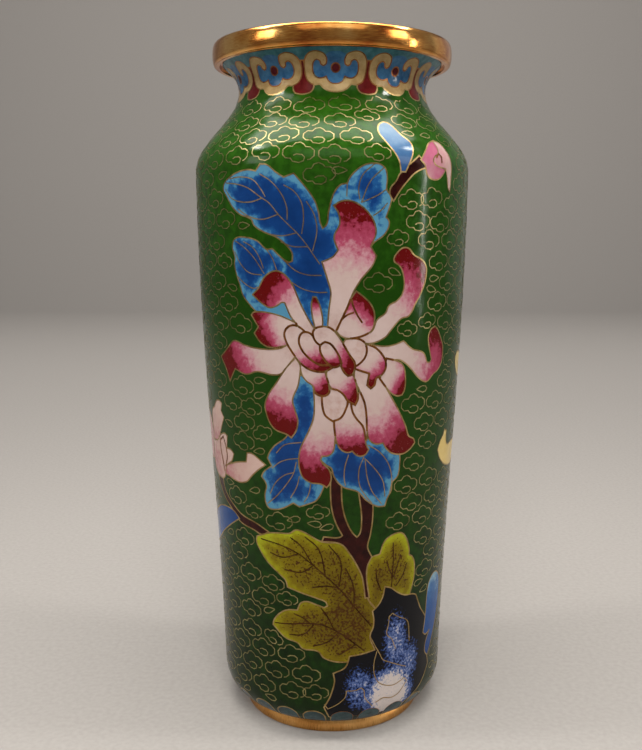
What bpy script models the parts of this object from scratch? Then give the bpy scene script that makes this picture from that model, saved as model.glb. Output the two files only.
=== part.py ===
"""A cloisonne vase: spun copper sections, gilt mouth and foot rings, and fired enamel cells.

The motif is drawn on an unrolled sheet: x runs round the vase from the front (-Y) towards +X, and
z runs up it.  Its cells are then set to the motif's size.  Sizes are in millimetres until the last step.
"""
import math

import bmesh
import bpy
from mathutils import Matrix, Vector

MM = 0.001

# Heights of the vase's sections, from the table up
FOOT_RING_HEIGHT = 3.4
BOWL_HEIGHT = 9.6
BELLY_HEIGHT = 151.0
SHOULDER_HEIGHT = 23.0
COLLAR_HEIGHT = 7.4
MOUTH_RING_HEIGHT = 5.6

# Outer radii of the enamelled body where the sections meet
SEAT_RADIUS = 26.4
BOWL_RADIUS = 34.0
SHOULDER_RADIUS = 40.3
NECK_RADIUS = 27.4
COLLAR_RADIUS = 32.0

# Wall build-up, from the outside in
ENAMEL_THICKNESS = 0.7
COPPER_THICKNESS = 0.9
LINING_THICKNESS = 0.6
FIT_GAP = 0.3
WIRE_GAP = 0.4

# Gilt rings
MOUTH_RING_BULGE = 2.9
MOUTH_RING_EDGE = 2.2
MOUTH_RING_SKIRT = 0.5
MOUTH_RING_CLEARANCE = 0.9
MOUTH_RING_LIP = 0.9
MOUTH_RING_ROUND = 1.6
FOOT_RING_FLARE = 1.0
FOOT_RING_WIDTH = 3.0
FOOT_RING_STEP = 0.7
UNDERSIDE_THICKNESS = 0.6

# Borders of the pattern
RUYI_COUNT = 10
RUYI_DROP = 11.0
RUYI_WAVE = 1.7
FOOT_SCALLOP_COUNT = 25
FOOT_BORDER_HEIGHT = 5.6
FOOT_SCALLOP_RISE = 1.6

# The motif on the body: its lowest point, its height, and its width round a mean radius
MOTIF_BASE = 10.6
MOTIF_HEIGHT = 164.5
MOTIF_WIDTH = 150.0
WRAP_RADIUS = 38.0

# Facets round the turned pieces, and the reach of the radial cutters
SIDES = 40
BORDER_STEPS = 100
FLAT_ANGLE = math.radians(0.3)
CUTTER_INNER_RADIUS = 12.0
CUTTER_OUTER_RADIUS = 64.0
CUTTER_UNDER = 2.0
CUTTER_OVER = 1.0
POCKET_AREA = 12.0
WELD_DISTANCE = 0.002
TURN_MERGE = 0.0001
SHARP_ANGLE = math.radians(40)

BOWL_TOP = FOOT_RING_HEIGHT + BOWL_HEIGHT
SHOULDER_START = BOWL_TOP + BELLY_HEIGHT
NECK_LEVEL = SHOULDER_START + SHOULDER_HEIGHT
COLLAR_TOP = NECK_LEVEL + COLLAR_HEIGHT
TOTAL_HEIGHT = COLLAR_TOP + MOUTH_RING_HEIGHT

COPPER_DEPTH = ENAMEL_THICKNESS + FIT_GAP
LINING_DEPTH = COPPER_DEPTH + COPPER_THICKNESS + FIT_GAP
LINING_INSIDE_DEPTH = LINING_DEPTH + LINING_THICKNESS

# The belly's swell: share of its height, share of the growth in radius
BELLY_SWELL = [(0.25, 0.24), (0.62, 0.73)]
BOWL_ROUNDING = 1.25
COLLAR_FLARE = 2.2
BOWL_STEPS = 3
SHOULDER_STEPS = 5
COLLAR_STEPS = 2

GILT = (0.62, 0.41, 0.13)
COPPER = (0.48, 0.21, 0.10)
GREEN = (0.02, 0.13, 0.02)
TURQUOISE = (0.06, 0.27, 0.34)
COBALT = (0.02, 0.08, 0.42)
BARK = (0.05, 0.008, 0.010)
LEAF = (0.36, 0.31, 0.02)
ROCK = (0.012, 0.011, 0.014)
PETAL = (0.72, 0.42, 0.40)
BLUSH = (0.70, 0.50, 0.44)
BUD = (0.75, 0.22, 0.32)
YELLOW = (0.83, 0.55, 0.16)

# The motif's cells, lower ones first: a later cell lies over the earlier ones
CELLS = [
    ("upper_blue_leaf", COBALT, [
        (-2.3, 147.4), (-2.9, 149), (-3.3, 151.5), (-4.2, 154.4), (-5.8, 157), (-7.6, 159.3),
        (-9.4, 161.4), (-12, 160.5), (-14, 161.8), (-16.6, 163.8), (-18.4, 164), (-19.7, 162.3),
        (-22, 162.7), (-25, 162.3), (-28, 161.2), (-30.6, 159.4), (-31, 157.9), (-29.6, 155.9),
        (-27.4, 153), (-25, 151.2), (-21.2, 149.7), (-20.6, 148.4), (-18, 146.7), (-14, 145.1),
        (-11.6, 143.2), (-10, 141), (-10, 139), (-10.9, 138.6), (-12.4, 139.5), (-15.4, 142.2),
        (-16.8, 142), (-19.6, 144.2), (-23, 145.1), (-26, 145.1), (-27.5, 144.3), (-28, 142.4),
        (-27.2, 139.6), (-27.5, 138), (-26.9, 135.4), (-25.6, 132), (-24.9, 129.8), (-22.4, 127),
        (-20.2, 125.2), (-16, 123.6), (-11, 121.6), (-6, 119.6), (-1, 120.6), (0.5, 131), (3, 137),
        (9, 140), (10.1, 143.3), (13.2, 145.8), (14.4, 148), (14.4, 149.4), (13.6, 150.3),
        (14.6, 153.2), (15, 155.4), (13.7, 157.3), (13.8, 160), (13.3, 162.6), (12, 163.7),
        (9.6, 163.9), (7.4, 163.2), (4.4, 160.4), (3.7, 158.8), (2.2, 158.5), (0.6, 156.6),
        (-0.3, 154), (-0.9, 151), (-1.3, 148.4)]),
    ("left_green_leaf", LEAF, [
        (-10.6, 64.8), (-12.6, 63.6), (-16, 63.3), (-19.5, 62.8), (-24, 61.1), (-24.4, 59.8),
        (-22.2, 56), (-20.6, 54.2), (-16.4, 51), (-14.4, 49.4), (-13.8, 47.4), (-8, 45.8),
        (-4.4, 44.8), (-1.8, 43.7), (-1.4, 42.7), (-2.4, 42.1), (-5, 43), (-7.8, 43.7), (-9.6, 43.1),
        (-10.8, 40.8), (-13.4, 40.6), (-15.6, 39.8), (-19, 36.4), (-19.3, 35.1), (-15, 31.8),
        (-10.6, 30.6), (-9.6, 29.4), (-4.2, 28.6), (-2.6, 26.8), (5.4, 25.4), (12, 27),
        (16, 30), (16, 40), (13.6, 41), (11, 44.4), (10, 52), (3, 61.5), (-3, 61.8), (-8, 64.2)]),
    ("right_green_leaf", LEAF, [
        (11, 44.4), (13.6, 41), (18, 41), (26.2, 42), (27.4, 45.6), (28, 48), (27.6, 52.8),
        (26.6, 54.4), (25.3, 55.2), (25.2, 57), (23, 61.6), (21.4, 62.6), (17.6, 62), (16, 60.8),
        (14.6, 57.2), (11.6, 56.4), (9.6, 54), (9.6, 50)]),
    ("main_stem", BARK, [
        (-0.4, 82), (-0.4, 75), (0, 71), (1.2, 67), (3, 63.6), (2.6, 63.2), (-2.4, 63.2), (-3, 61.7),
        (0, 61.7), (3, 60.8), (5, 58.4), (7.4, 54.6), (9.1, 51), (9.8, 47.5), (10.2, 44.5),
        (11.5, 44.5), (10.9, 47.8), (10.5, 51), (10.7, 54), (12, 56.7), (10.6, 59.8), (11.3, 63),
        (11.9, 67.5), (11.9, 75), (7.2, 78), (8.2, 72), (8.6, 68), (8.1, 63.8), (7.3, 62.9),
        (6, 64.2), (4.2, 67.6), (3, 72), (2.6, 80)]),
    ("lower_left_blue_leaf", COBALT, [
        (-12.6, 91.6), (-16.6, 88.4), (-18.2, 86.4), (-18.9, 84.8), (-17.6, 82.7), (-20.4, 80.6),
        (-21.2, 79.2), (-19.6, 77), (-20.3, 74), (-20, 71.4), (-19, 70.2), (-17, 70.1),
        (-14.4, 70.8), (-11.2, 72.6), (-9.4, 71.6), (-6.8, 72.6), (-4.6, 73.6), (-3, 76), (-2, 80),
        (-6, 88), (-3, 97), (-3, 105), (-7, 109), (-9.4, 108), (-12, 101), (-11, 96)]),
    ("lower_right_blue_leaf", COBALT, [
        (-3.2, 85.4), (-1.6, 83.9), (-0.2, 83), (0.4, 81), (1.6, 79), (3.4, 77.5), (5.2, 76.9),
        (7.2, 76.2), (10, 73.4), (13.4, 71.4), (15.6, 71.3), (16.6, 74), (17.6, 75.6), (17.7, 77.8),
        (19.4, 79.4), (20, 82.5), (19.4, 87), (14, 91), (8, 91), (1, 90), (-1.6, 88)]),
    ("side_branch", BARK, [
        (-44, 76), (-42, 72.6), (-39, 69.4), (-35, 66.9), (-31, 64), (-25, 62.7), (-22.2, 61.9),
        (-19.5, 63.1), (-24, 64.9), (-30.5, 66.5), (-34, 68.4), (-37, 70.3), (-39, 72.6), (-40, 77)]),
    ("side_blue_leaf", COBALT, [
        (-31.4, 64.8), (-34, 66.4), (-37, 66.9), (-42, 66.4), (-47, 64.6), (-54, 60.6), (-58, 56.4),
        (-59, 52), (-54, 52), (-48, 54.6), (-42, 58.6), (-37, 61.6)]),
    ("rock", ROCK, [
        (16.7, 47.1), (18.8, 46.4), (21, 44.8), (24, 43.2), (29.2, 42), (30.4, 40), (32, 37.2),
        (35.4, 33.2), (38, 28), (37, 24), (38.6, 17.2), (36, 14), (33, 11.6), (24, 10.6), (12, 10.6),
        (3, 10.8), (-1, 10.8), (-2.6, 11.4), (-0.8, 14.4), (0.2, 17), (0.8, 19.6), (0.4, 22),
        (4.2, 23.8), (5.6, 27.1), (9, 27.4), (13.8, 28.2), (12.1, 32.6), (13.1, 35.4),
        (13.2, 37.8), (12.7, 40.2), (14.6, 41.8), (15.9, 43.8)]),
    ("rock_blue_leaf", COBALT, [
        (35.5, 40), (36, 43), (38, 45.4), (40.5, 46), (43.5, 44.6), (45.4, 42), (45.8, 38), (45, 34),
        (44, 30.5), (42, 26.5), (40, 23), (38, 20), (36, 22), (36.2, 24.6), (38.6, 28), (36, 27.4),
        (34.4, 28.4), (35.2, 33.2)]),
    ("bud_twig", BARK, [
        (14.6, 157.6), (16.2, 159.6), (17.2, 161.4), (18.4, 162.6), (23.2, 166.4), (26, 163.6),
        (22, 162), (19.6, 159.8), (17.4, 157.2), (15.6, 154.4), (14.6, 156)]),
    ("bud_leaf", COBALT, [
        (12.8, 172.2), (13.2, 173.8), (14.4, 174.8), (16, 175.1), (17.2, 174.6), (19.4, 171.8),
        (21.6, 169.6), (21.6, 167.8), (20, 164.2), (18.9, 162), (17.5, 162), (17.3, 163.8),
        (16.6, 165.8), (13.8, 170.2)]),
    ("bud_petal", BUD, [
        (23.6, 165.3), (25.6, 167.6), (28, 169.9), (31, 171), (33, 168), (33, 163.4), (31.6, 161.6),
        (29.8, 160.5), (27.8, 160.4), (26, 161.2), (24.9, 164.1)]),
    ("bud_hook", BLUSH, [
        (30.4, 170.8), (33, 170.4), (35, 168), (35.9, 164.4), (35.7, 160.6), (35.3, 157.4),
        (34.5, 158.2), (33.9, 160.8), (33.1, 163.4), (30.4, 163.8), (28.6, 164.4), (28, 165.4),
        (28.8, 166.5), (30, 167), (30.9, 168.4)]),
    ("side_petal_back", BLUSH, [
        (-48, 92.6), (-52, 94), (-58, 93.4), (-64, 91), (-67, 87), (-65, 83), (-60, 80), (-52, 79.2),
        (-46, 80), (-44, 84), (-46, 89)]),
    ("side_petal_top", BLUSH, [
        (-46, 93), (-45.2, 95), (-43, 96.2), (-41, 98.2), (-38.5, 98.7), (-37.2, 98), (-38, 95.8),
        (-36.4, 94), (-38.6, 90.4), (-41.6, 85), (-45, 86), (-46, 89.6)]),
    ("side_petal_long", BLUSH, [
        (-38.4, 79.4), (-34, 80.8), (-31, 81.8), (-26.8, 82.6), (-26.2, 85.3), (-24.6, 85.4),
        (-22, 84.2), (-19.6, 82.7), (-21.6, 81.4), (-24.6, 79), (-27, 76.8), (-30, 76), (-36, 76.8),
        (-39, 77)]),
    ("side_flower_heart", BLUSH, [
        (-47, 80), (-46, 77), (-42, 75.2), (-38.8, 75.6), (-37.6, 77.4), (-37, 79.3), (-33.4, 81.8),
        (-32.2, 84), (-33.6, 85), (-35.8, 85.1), (-35.2, 88.8), (-36.4, 89.3), (-39.6, 88.3),
        (-42, 86.4), (-46.6, 86)]),
    ("yellow_heart", YELLOW, [
        (66, 88), (73, 86), (80, 88), (83, 94), (81, 101), (75, 104), (68, 102), (64, 96)]),
    ("yellow_petal_upper", YELLOW, [
        (45.2, 110.6), (45.6, 108.6), (48, 105.6), (52, 104.2), (58, 104), (64, 102), (68, 99),
        (72, 102), (68, 107.6), (62, 110.4), (52, 111.4), (47, 112)]),
    ("yellow_petal_lower", YELLOW, [
        (36.2, 84.4), (37.6, 87), (39.2, 88.4), (40, 90), (41.6, 89.4), (42, 86), (43.4, 84.8),
        (47, 85.2), (53, 85), (60, 87), (66, 92), (71, 90), (66, 83), (60, 79.4), (52, 78), (46, 78),
        (41, 79.4), (38, 81.6)]),
    ("petal_tail", PETAL, [
        (-5, 106), (-4.7, 101), (-5, 97), (-6.1, 93.9), (-7.4, 91.2), (-8.7, 88.4), (-9.3, 85.4),
        (-9.1, 82.4), (-8.2, 80.2), (-6, 78.8), (-3, 78.4), (-1.5, 77.5), (-0.6, 78.6), (-0.2, 80.4),
        (-0.8, 82.6), (-2.4, 84.2), (-3.2, 85.4), (-2.8, 86.4), (-1.2, 86.5), (0.2, 87.6), (0.8, 91),
        (0.8, 98), (-1, 105)]),
    ("petal_lower_sliver", PETAL, [
        (4.4, 103.6), (7.6, 104), (9, 101), (9.6, 96), (9.6, 90.6), (8.6, 90.6), (7, 95), (5, 98.6)]),
    ("petal_lower_right", PETAL, [
        (6, 110.6), (5.9, 108.2), (7.4, 104.4), (8.8, 101), (9.4, 97), (9.7, 92.8), (10.4, 90.6),
        (12.2, 89.4), (14.4, 89.5), (15.4, 87.9), (17.2, 86.4), (21.2, 85.8), (23.4, 86.8),
        (25.1, 88.4), (24.6, 89.6), (22.8, 90.6), (21.6, 93.4), (19.8, 96.8), (15, 104.6),
        (12.7, 108.4)]),
    ("petal_lower_middle", PETAL, [
        (0.8, 98), (0.9, 92), (1.4, 90), (2.4, 88.3), (4.2, 87.4), (5.6, 87.7), (6.6, 86.7), (8, 86.2),
        (9.4, 86.7), (10.2, 88), (9.4, 89.6), (9.1, 92), (8.4, 94.6), (6.6, 96.8), (5.5, 98.8),
        (5, 102), (3, 102)]),
    ("petal_tongue", PETAL, [
        (-2.7, 104), (-2.5, 100), (-1.8, 97.8), (0.2, 96.2), (2.2, 97), (3.4, 98.8), (4.2, 102.4),
        (2, 106)]),
    ("petal_lower_left", PETAL, [
        (-9.6, 113.4), (-8.4, 111.4), (-8.5, 109), (-9, 106), (-10.7, 101.6), (-10.1, 99.2),
        (-9.3, 96), (-10, 93), (-11.3, 91.2), (-12.2, 91.9), (-16, 93.2), (-17.6, 94.9), (-18.6, 97.4),
        (-19, 99.6), (-18.4, 101.6), (-15, 106.6), (-12, 110.8)]),
    ("petal_left_long", PETAL, [
        (-35.6, 111.9), (-33, 113.8), (-30.6, 115.9), (-29.2, 116.9), (-27.4, 116.8), (-25, 116),
        (-17, 115.3), (-13.4, 115.9), (-11, 117.4), (-9.4, 114), (-12.8, 109.9), (-13.8, 108.8),
        (-16, 108.4), (-21, 109), (-25, 107.9), (-29.2, 109), (-31.8, 105.2), (-33.2, 108.5)]),
    ("petal_left_notched", PETAL, [
        (-22.2, 124.4), (-21.6, 125.1), (-20, 125.4), (-16, 125.1), (-12.6, 124.2), (-9, 122.6),
        (-9, 119), (-11.6, 116.9), (-13.4, 116.3), (-15.8, 115.9), (-17.8, 116.1), (-19.8, 117.3),
        (-21.5, 119.5), (-20.1, 121.3)]),
    ("petal_upper_left", PETAL, [
        (-21.6, 129.9), (-19.6, 131.8), (-18, 134.4), (-16.2, 135.9), (-14.2, 136.4), (-12.3, 135.6),
        (-10.4, 133.4), (-8, 127.8), (-5.2, 122.3), (-4.4, 121), (-5, 119), (-7.6, 120.4), (-9, 122.3),
        (-10.6, 124.3), (-12.2, 128), (-13, 128.1), (-14.4, 127.2), (-16.5, 126.6), (-18.6, 127.6)]),
    ("petal_upper_sliver", PETAL, [
        (-4.8, 129.7), (-4, 129.6), (-3.2, 127.8), (-2.4, 124), (-2.4, 121.4), (-4.2, 121),
        (-5, 124.6), (-5.2, 127.8)]),
    ("petal_upper_right", PETAL, [
        (3.4, 119), (6, 119.2), (8.5, 119.8), (10.3, 120.4), (11.8, 123.6), (14, 125.3), (15, 127.3),
        (17, 128.3), (18.6, 130), (19.2, 132.4), (18.4, 136.6), (17.3, 138), (16.2, 138.7), (16, 139.6),
        (17, 141.2), (18.6, 142.4), (20.2, 142.3), (22, 140.5), (25, 139), (26.3, 137.4), (26.5, 135.6),
        (25.9, 132.6), (23, 127.4), (20.8, 124.1), (18.9, 123.7), (15.6, 120.5), (14.3, 118.9),
        (9.4, 117.2), (7.4, 118)]),
    ("petal_cup", PETAL, [
        (6.1, 131.2), (8, 129.7), (9.8, 127.9), (10.9, 125.6), (11, 123.4), (10.6, 121.2), (9.6, 120.1),
        (3.6, 118.8), (1.6, 120), (1, 121), (2.6, 126), (5.2, 129.9)]),
    ("petal_right_hook", PETAL, [
        (9.2, 117.1), (14.5, 116.3), (17.5, 116.8), (19.6, 117.5), (22.4, 115.2), (26.8, 113.6),
        (28.3, 110.9), (29.4, 110.8), (30, 111.6), (28.6, 116), (28.3, 118), (29.2, 120), (30.8, 120.8),
        (31.7, 120.3), (34, 117.2), (35.2, 115), (35.4, 112.4), (34.8, 109.9), (33.2, 108.2),
        (31.4, 107.4), (28.6, 105.5), (26.6, 106), (20.6, 111.2), (18.4, 112.4), (14, 112), (11, 116)]),
    ("petal_right_short", PETAL, [
        (14.6, 113), (17.5, 112.2), (19.6, 111), (20.7, 107.2), (20.5, 103.8), (19.8, 102.6),
        (18.4, 102.4), (16.6, 103.2), (12.8, 107.6), (14, 110)]),
    ("petal_right_spur", PETAL, [
        (9, 117), (11, 116.3), (12.9, 114.7), (14.3, 112.5), (14.5, 110.4), (13.4, 108.6), (11.9, 107.7),
        (11.4, 105.8), (10.4, 105), (9.4, 105.9), (9.9, 109.1), (5.6, 110.6), (7.6, 113)]),
    ("petal_crown", PETAL, [
        (0.4, 153.2), (2.2, 154.3), (4.2, 154.5), (6.8, 153.4), (9.2, 151.2), (10.6, 148.8), (11, 146.2),
        (9.7, 142.8), (11.2, 140.3), (10.2, 137.8), (7.6, 134.6), (5.6, 131.4), (3.9, 127), (1, 120.6),
        (-1.2, 121), (-0.8, 126), (-0.3, 131), (-1, 133.8), (-2.5, 138.8), (0.2, 140.1), (1.5, 141.8),
        (0.5, 145.2), (1.9, 148.7), (1.6, 151.2)]),
    ("petal_knob_left", PETAL, [
        (-8.4, 112), (-8, 109), (-6.8, 107.2), (-5, 105.8), (-4.6, 104.2), (-3.4, 103.3), (-1.8, 103.2),
        (-0.8, 104), (-0.7, 105.4), (-1.5, 108.6), (-2.2, 110.2), (-6, 111.6)]),
    ("petal_knob_right", PETAL, [
        (-1.4, 109.4), (-0.4, 111.4), (3, 111.4), (5.6, 108.6), (6.8, 104.2), (6.9, 102.2), (6.2, 100.6),
        (4.2, 101.8), (3, 103.6), (1.4, 104.8), (0, 105.2), (-0.8, 106.4)]),
    ("heart_right", PETAL, [
        (3.5, 118.5), (6.6, 118.6), (8.4, 117.6), (9.1, 115.8), (8.7, 113.6), (7.4, 112), (5.6, 110.8),
        (4, 114), (2.6, 117)]),
    ("heart_outer_curl", PETAL, [
        (-9.7, 122.1), (-11.5, 121.6), (-12.5, 120), (-12.2, 118), (-10.8, 115.4), (-8.8, 112.6),
        (-6.8, 110.8), (-4.6, 109.9), (-2, 109.8), (0.6, 111.2), (-2, 113), (-6, 116), (-7, 120.4)]),
    ("heart_left", PETAL, [
        (-8.6, 117.6), (-8.3, 119.4), (-7.4, 120.3), (-6.2, 120.3), (-5.2, 119.7), (-3.4, 117.6),
        (-2, 115), (0.2, 111.6), (-3.4, 111.7), (-5.4, 112.9), (-7.6, 115.2)]),
    ("heart_crest", PETAL, [
        (-4.4, 118.2), (-4.9, 120.4), (-4.2, 121.4), (-2.4, 121.9), (-0.4, 121.5), (1.4, 119.6),
        (4.6, 114.2), (6, 112), (5.9, 110.2), (5.2, 108.9), (4.2, 108.6), (3.2, 109.6), (2, 112),
        (0, 115), (-1.6, 116.6), (-3.2, 117)]),
    ("heart_inner", PETAL, [
        (-2.9, 117), (-1.8, 117.8), (-0.4, 117.3), (0.8, 115.8), (1.8, 114), (2.5, 112), (1.6, 111.2),
        (0.2, 111), (-1, 111.9), (-2.4, 113.8), (-3.1, 115.6)]),
]


def body_profile():
    """The enamelled body's outline from the foot seat up to the mouth ring, as (radius, height)."""
    points = []
    for step in range(BOWL_STEPS):
        turn = math.pi / 2 * step / BOWL_STEPS
        swell = math.sin(turn) ** BOWL_ROUNDING
        points.append((SEAT_RADIUS + (BOWL_RADIUS - SEAT_RADIUS) * swell,
                       BOWL_TOP - BOWL_HEIGHT * math.cos(turn)))
    for height_share, swell in [(0.0, 0.0)] + BELLY_SWELL + [(1.0, 1.0)]:
        points.append((BOWL_RADIUS + (SHOULDER_RADIUS - BOWL_RADIUS) * swell,
                       BOWL_TOP + BELLY_HEIGHT * height_share))
    for step in range(1, SHOULDER_STEPS + 1):
        share = step / SHOULDER_STEPS
        fall = 0.5 - 0.5 * math.cos(math.pi * share)
        points.append((SHOULDER_RADIUS + (NECK_RADIUS - SHOULDER_RADIUS) * fall,
                       SHOULDER_START + SHOULDER_HEIGHT * share))
    for step in range(1, COLLAR_STEPS + 1):
        share = step / COLLAR_STEPS
        points.append((NECK_RADIUS + (COLLAR_RADIUS - NECK_RADIUS) * share ** COLLAR_FLARE,
                       NECK_LEVEL + COLLAR_HEIGHT * share))
    return points


def sunk_profile(depth):
    """The body's outline moved into the wall by a depth, square to its surface."""
    points = [Vector(point) for point in body_profile()]
    last = len(points) - 1
    sunk = []
    for index, point in enumerate(points):
        along = (points[min(index + 1, last)] - points[max(index - 1, 0)]).normalized()
        sunk.append(point + depth * Vector((-along.y, along.x)))
    return sunk


def between(points, low, high):
    """The stretch of an outline between two heights, with a point at each end."""
    def at(height):
        for first, second in zip(points, points[1:]):
            if first.y <= height <= second.y:
                share = (height - first.y) / (second.y - first.y)
                return first.lerp(second, share)
        end = points[0] if height < points[0].y else points[-1]
        return Vector((end.x, height))
    inside = [point for point in points if low < point.y < high]
    return [at(low)] + inside + [at(high)]


def material(name, colour, roughness, metallic):
    """One finish as a Principled BSDF."""
    finish = bpy.data.materials.new(name)
    finish.use_nodes = True
    shader = finish.node_tree.nodes["Principled BSDF"]
    shader.inputs["Base Color"].default_value = (*colour, 1.0)
    shader.inputs["Roughness"].default_value = roughness
    shader.inputs["Metallic"].default_value = metallic
    return finish


def turned(name, outline, sides=SIDES):
    """A closed outline of (radius, height) points, turned about the vase's axis."""
    area = sum(a.x * b.y - b.x * a.y for a, b in zip(outline, outline[1:] + outline[:1]))
    if area > 0:
        outline = outline[::-1]
    mesh = bpy.data.meshes.new(name)
    edges = [(index, (index + 1) % len(outline)) for index in range(len(outline))]
    mesh.from_pydata([(p.x, 0.0, p.y) for p in outline], edges, [])
    piece = bpy.data.objects.new(name, mesh)
    cutter_collection.objects.link(piece)
    screw = piece.modifiers.new("turn", "SCREW")
    screw.steps = sides
    screw.render_steps = sides
    screw.use_merge_vertices = True
    screw.merge_threshold = TURN_MERGE
    return settle(piece)


def face_outwards(shape):
    """Make a closed shape's faces flat triangles that all point outwards."""
    bmesh.ops.triangulate(shape, faces=shape.faces)
    bmesh.ops.recalc_face_normals(shape, faces=shape.faces)
    if shape.calc_volume(signed=True) < 0:
        bmesh.ops.reverse_faces(shape, faces=shape.faces)


def settle(piece):
    """Make a piece's evaluated shape its own mesh, facing outwards."""
    graph = bpy.context.evaluated_depsgraph_get()
    mesh = bpy.data.meshes.new_from_object(piece.evaluated_get(graph))
    shape = bmesh.new()
    shape.from_mesh(mesh)
    bmesh.ops.remove_doubles(shape, verts=shape.verts, dist=WELD_DISTANCE)
    bmesh.ops.dissolve_limit(shape, angle_limit=FLAT_ANGLE, verts=shape.verts, edges=shape.edges)
    face_outwards(shape)
    shape.to_mesh(mesh)
    shape.free()
    piece.modifiers.clear()
    piece.data = mesh
    return piece


def ring_shell(name, outer_depth, inner_depth, low, high):
    """A turned wall of the body between two depths and two heights."""
    outer = between(sunk_profile(outer_depth), low, high)
    inner = between(sunk_profile(inner_depth), low, high)
    return turned(name, outer + inner[::-1])


def finish_part(piece, colour, roughness, metallic=0.0):
    """Move a piece to the vase's collection, with its own finish."""
    for collection in list(piece.users_collection):
        collection.objects.unlink(piece)
    vase_collection.objects.link(piece)
    piece.data.materials.clear()
    piece.data.materials.append(material(piece.name, colour, roughness, metallic))
    piece.data.shade_smooth()
    piece.data.set_sharp_from_angle(angle=SHARP_ANGLE)


def hide_cutter(piece):
    piece.hide_render = True
    piece.display_type = "WIRE"


def grown(outline, distance):
    """A closed outline moved outwards by a distance."""
    points = [Vector(point) for point in outline]
    area = sum(a.x * b.y - b.x * a.y for a, b in zip(points, points[1:] + points[:1]))
    if area < 0:
        points.reverse()
    result = []
    for index, point in enumerate(points):
        before = (point - points[index - 1]).normalized()
        after = (points[(index + 1) % len(points)] - point).normalized()
        normal = Vector((before.y + after.y, -before.x - after.x))
        stretch = max(normal.length_squared / 2, 0.5)
        result.append(point + normal * (distance / stretch))
    return result


def surface_radius(height):
    """The enamelled body's outer radius at a height."""
    profile = [Vector(point) for point in body_profile()]
    return between(profile, height, COLLAR_TOP)[0].x


def wrapped_cutter(name, outline):
    """A flat outline of the motif, wrapped round the vase and drawn through its wall.

    The cutter has four layers: deep inside, just under the enamel, just over it and far outside.
    """
    curve = bpy.data.curves.new(name, "CURVE")
    curve.dimensions = "2D"
    curve.fill_mode = "BOTH"
    curve.render_resolution_u = 0
    spline = curve.splines.new("POLY")
    spline.points.add(len(outline) - 1)
    for control, (across, height) in zip(spline.points, outline):
        control.co = (across, height, 0.0, 1.0)
    spline.use_cyclic_u = True
    flat = bpy.data.objects.new(name, curve)
    cutter_collection.objects.link(flat)
    graph = bpy.context.evaluated_depsgraph_get()
    mesh = bpy.data.meshes.new_from_object(flat.evaluated_get(graph))
    bpy.data.objects.remove(flat)
    shape = bmesh.new()
    shape.from_mesh(mesh)
    layers = [list(shape.verts)]
    top = list(shape.faces)
    while len(layers) < 4:
        added = bmesh.ops.extrude_face_region(shape, geom=top)["geom"]
        if len(layers) > 1:
            bmesh.ops.delete(shape, geom=top, context="FACES_ONLY")
        layers.append([item for item in added if isinstance(item, bmesh.types.BMVert)])
        top = [item for item in added if isinstance(item, bmesh.types.BMFace)]
    for layer, vertices in enumerate(layers):
        for vertex in vertices:
            turn = vertex.co.x / WRAP_RADIUS
            height = vertex.co.y
            skin = surface_radius(height)
            radius = (CUTTER_INNER_RADIUS, skin - CUTTER_UNDER, skin + CUTTER_OVER,
                      CUTTER_OUTER_RADIUS)[layer]
            vertex.co = (radius * math.sin(turn), -radius * math.cos(turn), height)
    face_outwards(shape)
    shape.to_mesh(mesh)
    shape.free()
    cutter = bpy.data.objects.new(name, mesh)
    cutter_collection.objects.link(cutter)
    hide_cutter(cutter)
    return cutter


def border_cutter(name, edge, far):
    """A wide ring whose near edge follows a wavy line round the vase."""
    near = edge(0.0)
    low, high = min(near, far), max(near, far)
    outline = [Vector((CUTTER_OUTER_RADIUS, high)), Vector((CUTTER_OUTER_RADIUS, low)),
               Vector((CUTTER_INNER_RADIUS, low)), Vector((CUTTER_INNER_RADIUS, high))]
    ring = turned(name, outline, BORDER_STEPS)
    middle = (low + high) / 2
    for vertex in ring.data.vertices:
        if (vertex.co.z > middle) == (near > far):
            vertex.co.z = edge(math.atan2(vertex.co.x, -vertex.co.y))
    hide_cutter(ring)
    return ring


def cut(piece, operation, cutters):
    """Boolean a piece with each cutter in turn; the closed-mesh solver keeps thin walls whole."""
    for cutter in cutters:
        step = piece.modifiers.new(cutter.name, "BOOLEAN")
        step.operation = operation
        step.object = cutter
        step.solver = "MANIFOLD"
    return settle(piece)


def islands(piece):
    """The separate bodies of a piece, largest first, as lists of face indices."""
    shape = bmesh.new()
    shape.from_mesh(piece.data)
    shape.faces.ensure_lookup_table()
    seen = set()
    bodies = []
    for start in shape.faces:
        if start.index in seen:
            continue
        seen.add(start.index)
        body, front = [], [start]
        while front:
            face = front.pop()
            body.append(face)
            for edge in face.edges:
                for other in edge.link_faces:
                    if other.index not in seen:
                        seen.add(other.index)
                        front.append(other)
        bodies.append((sum(face.calc_area() for face in body), [face.index for face in body]))
    shape.free()
    return [faces for area, faces in sorted(bodies, reverse=True) if area > POCKET_AREA]


def keep_faces(piece, faces):
    """Leave only the given faces of a piece."""
    kept = set(faces)
    shape = bmesh.new()
    shape.from_mesh(piece.data)
    spare = [face for face in shape.faces if face.index not in kept]
    bmesh.ops.delete(shape, geom=spare, context="FACES")
    shape.to_mesh(piece.data)
    shape.free()
    return piece


def copy_of(piece, name):
    twin = bpy.data.objects.new(name, piece.data.copy())
    cutter_collection.objects.link(twin)
    return twin


def boxes_meet(first, second):
    """Whether two outlines' boxes come within a wire's width of each other."""
    for axis in (0, 1):
        a = [point[axis] for point in first]
        b = [point[axis] for point in second]
        if max(a) + 2 * WIRE_GAP < min(b) or max(b) + 2 * WIRE_GAP < min(a):
            return False
    return True


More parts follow.
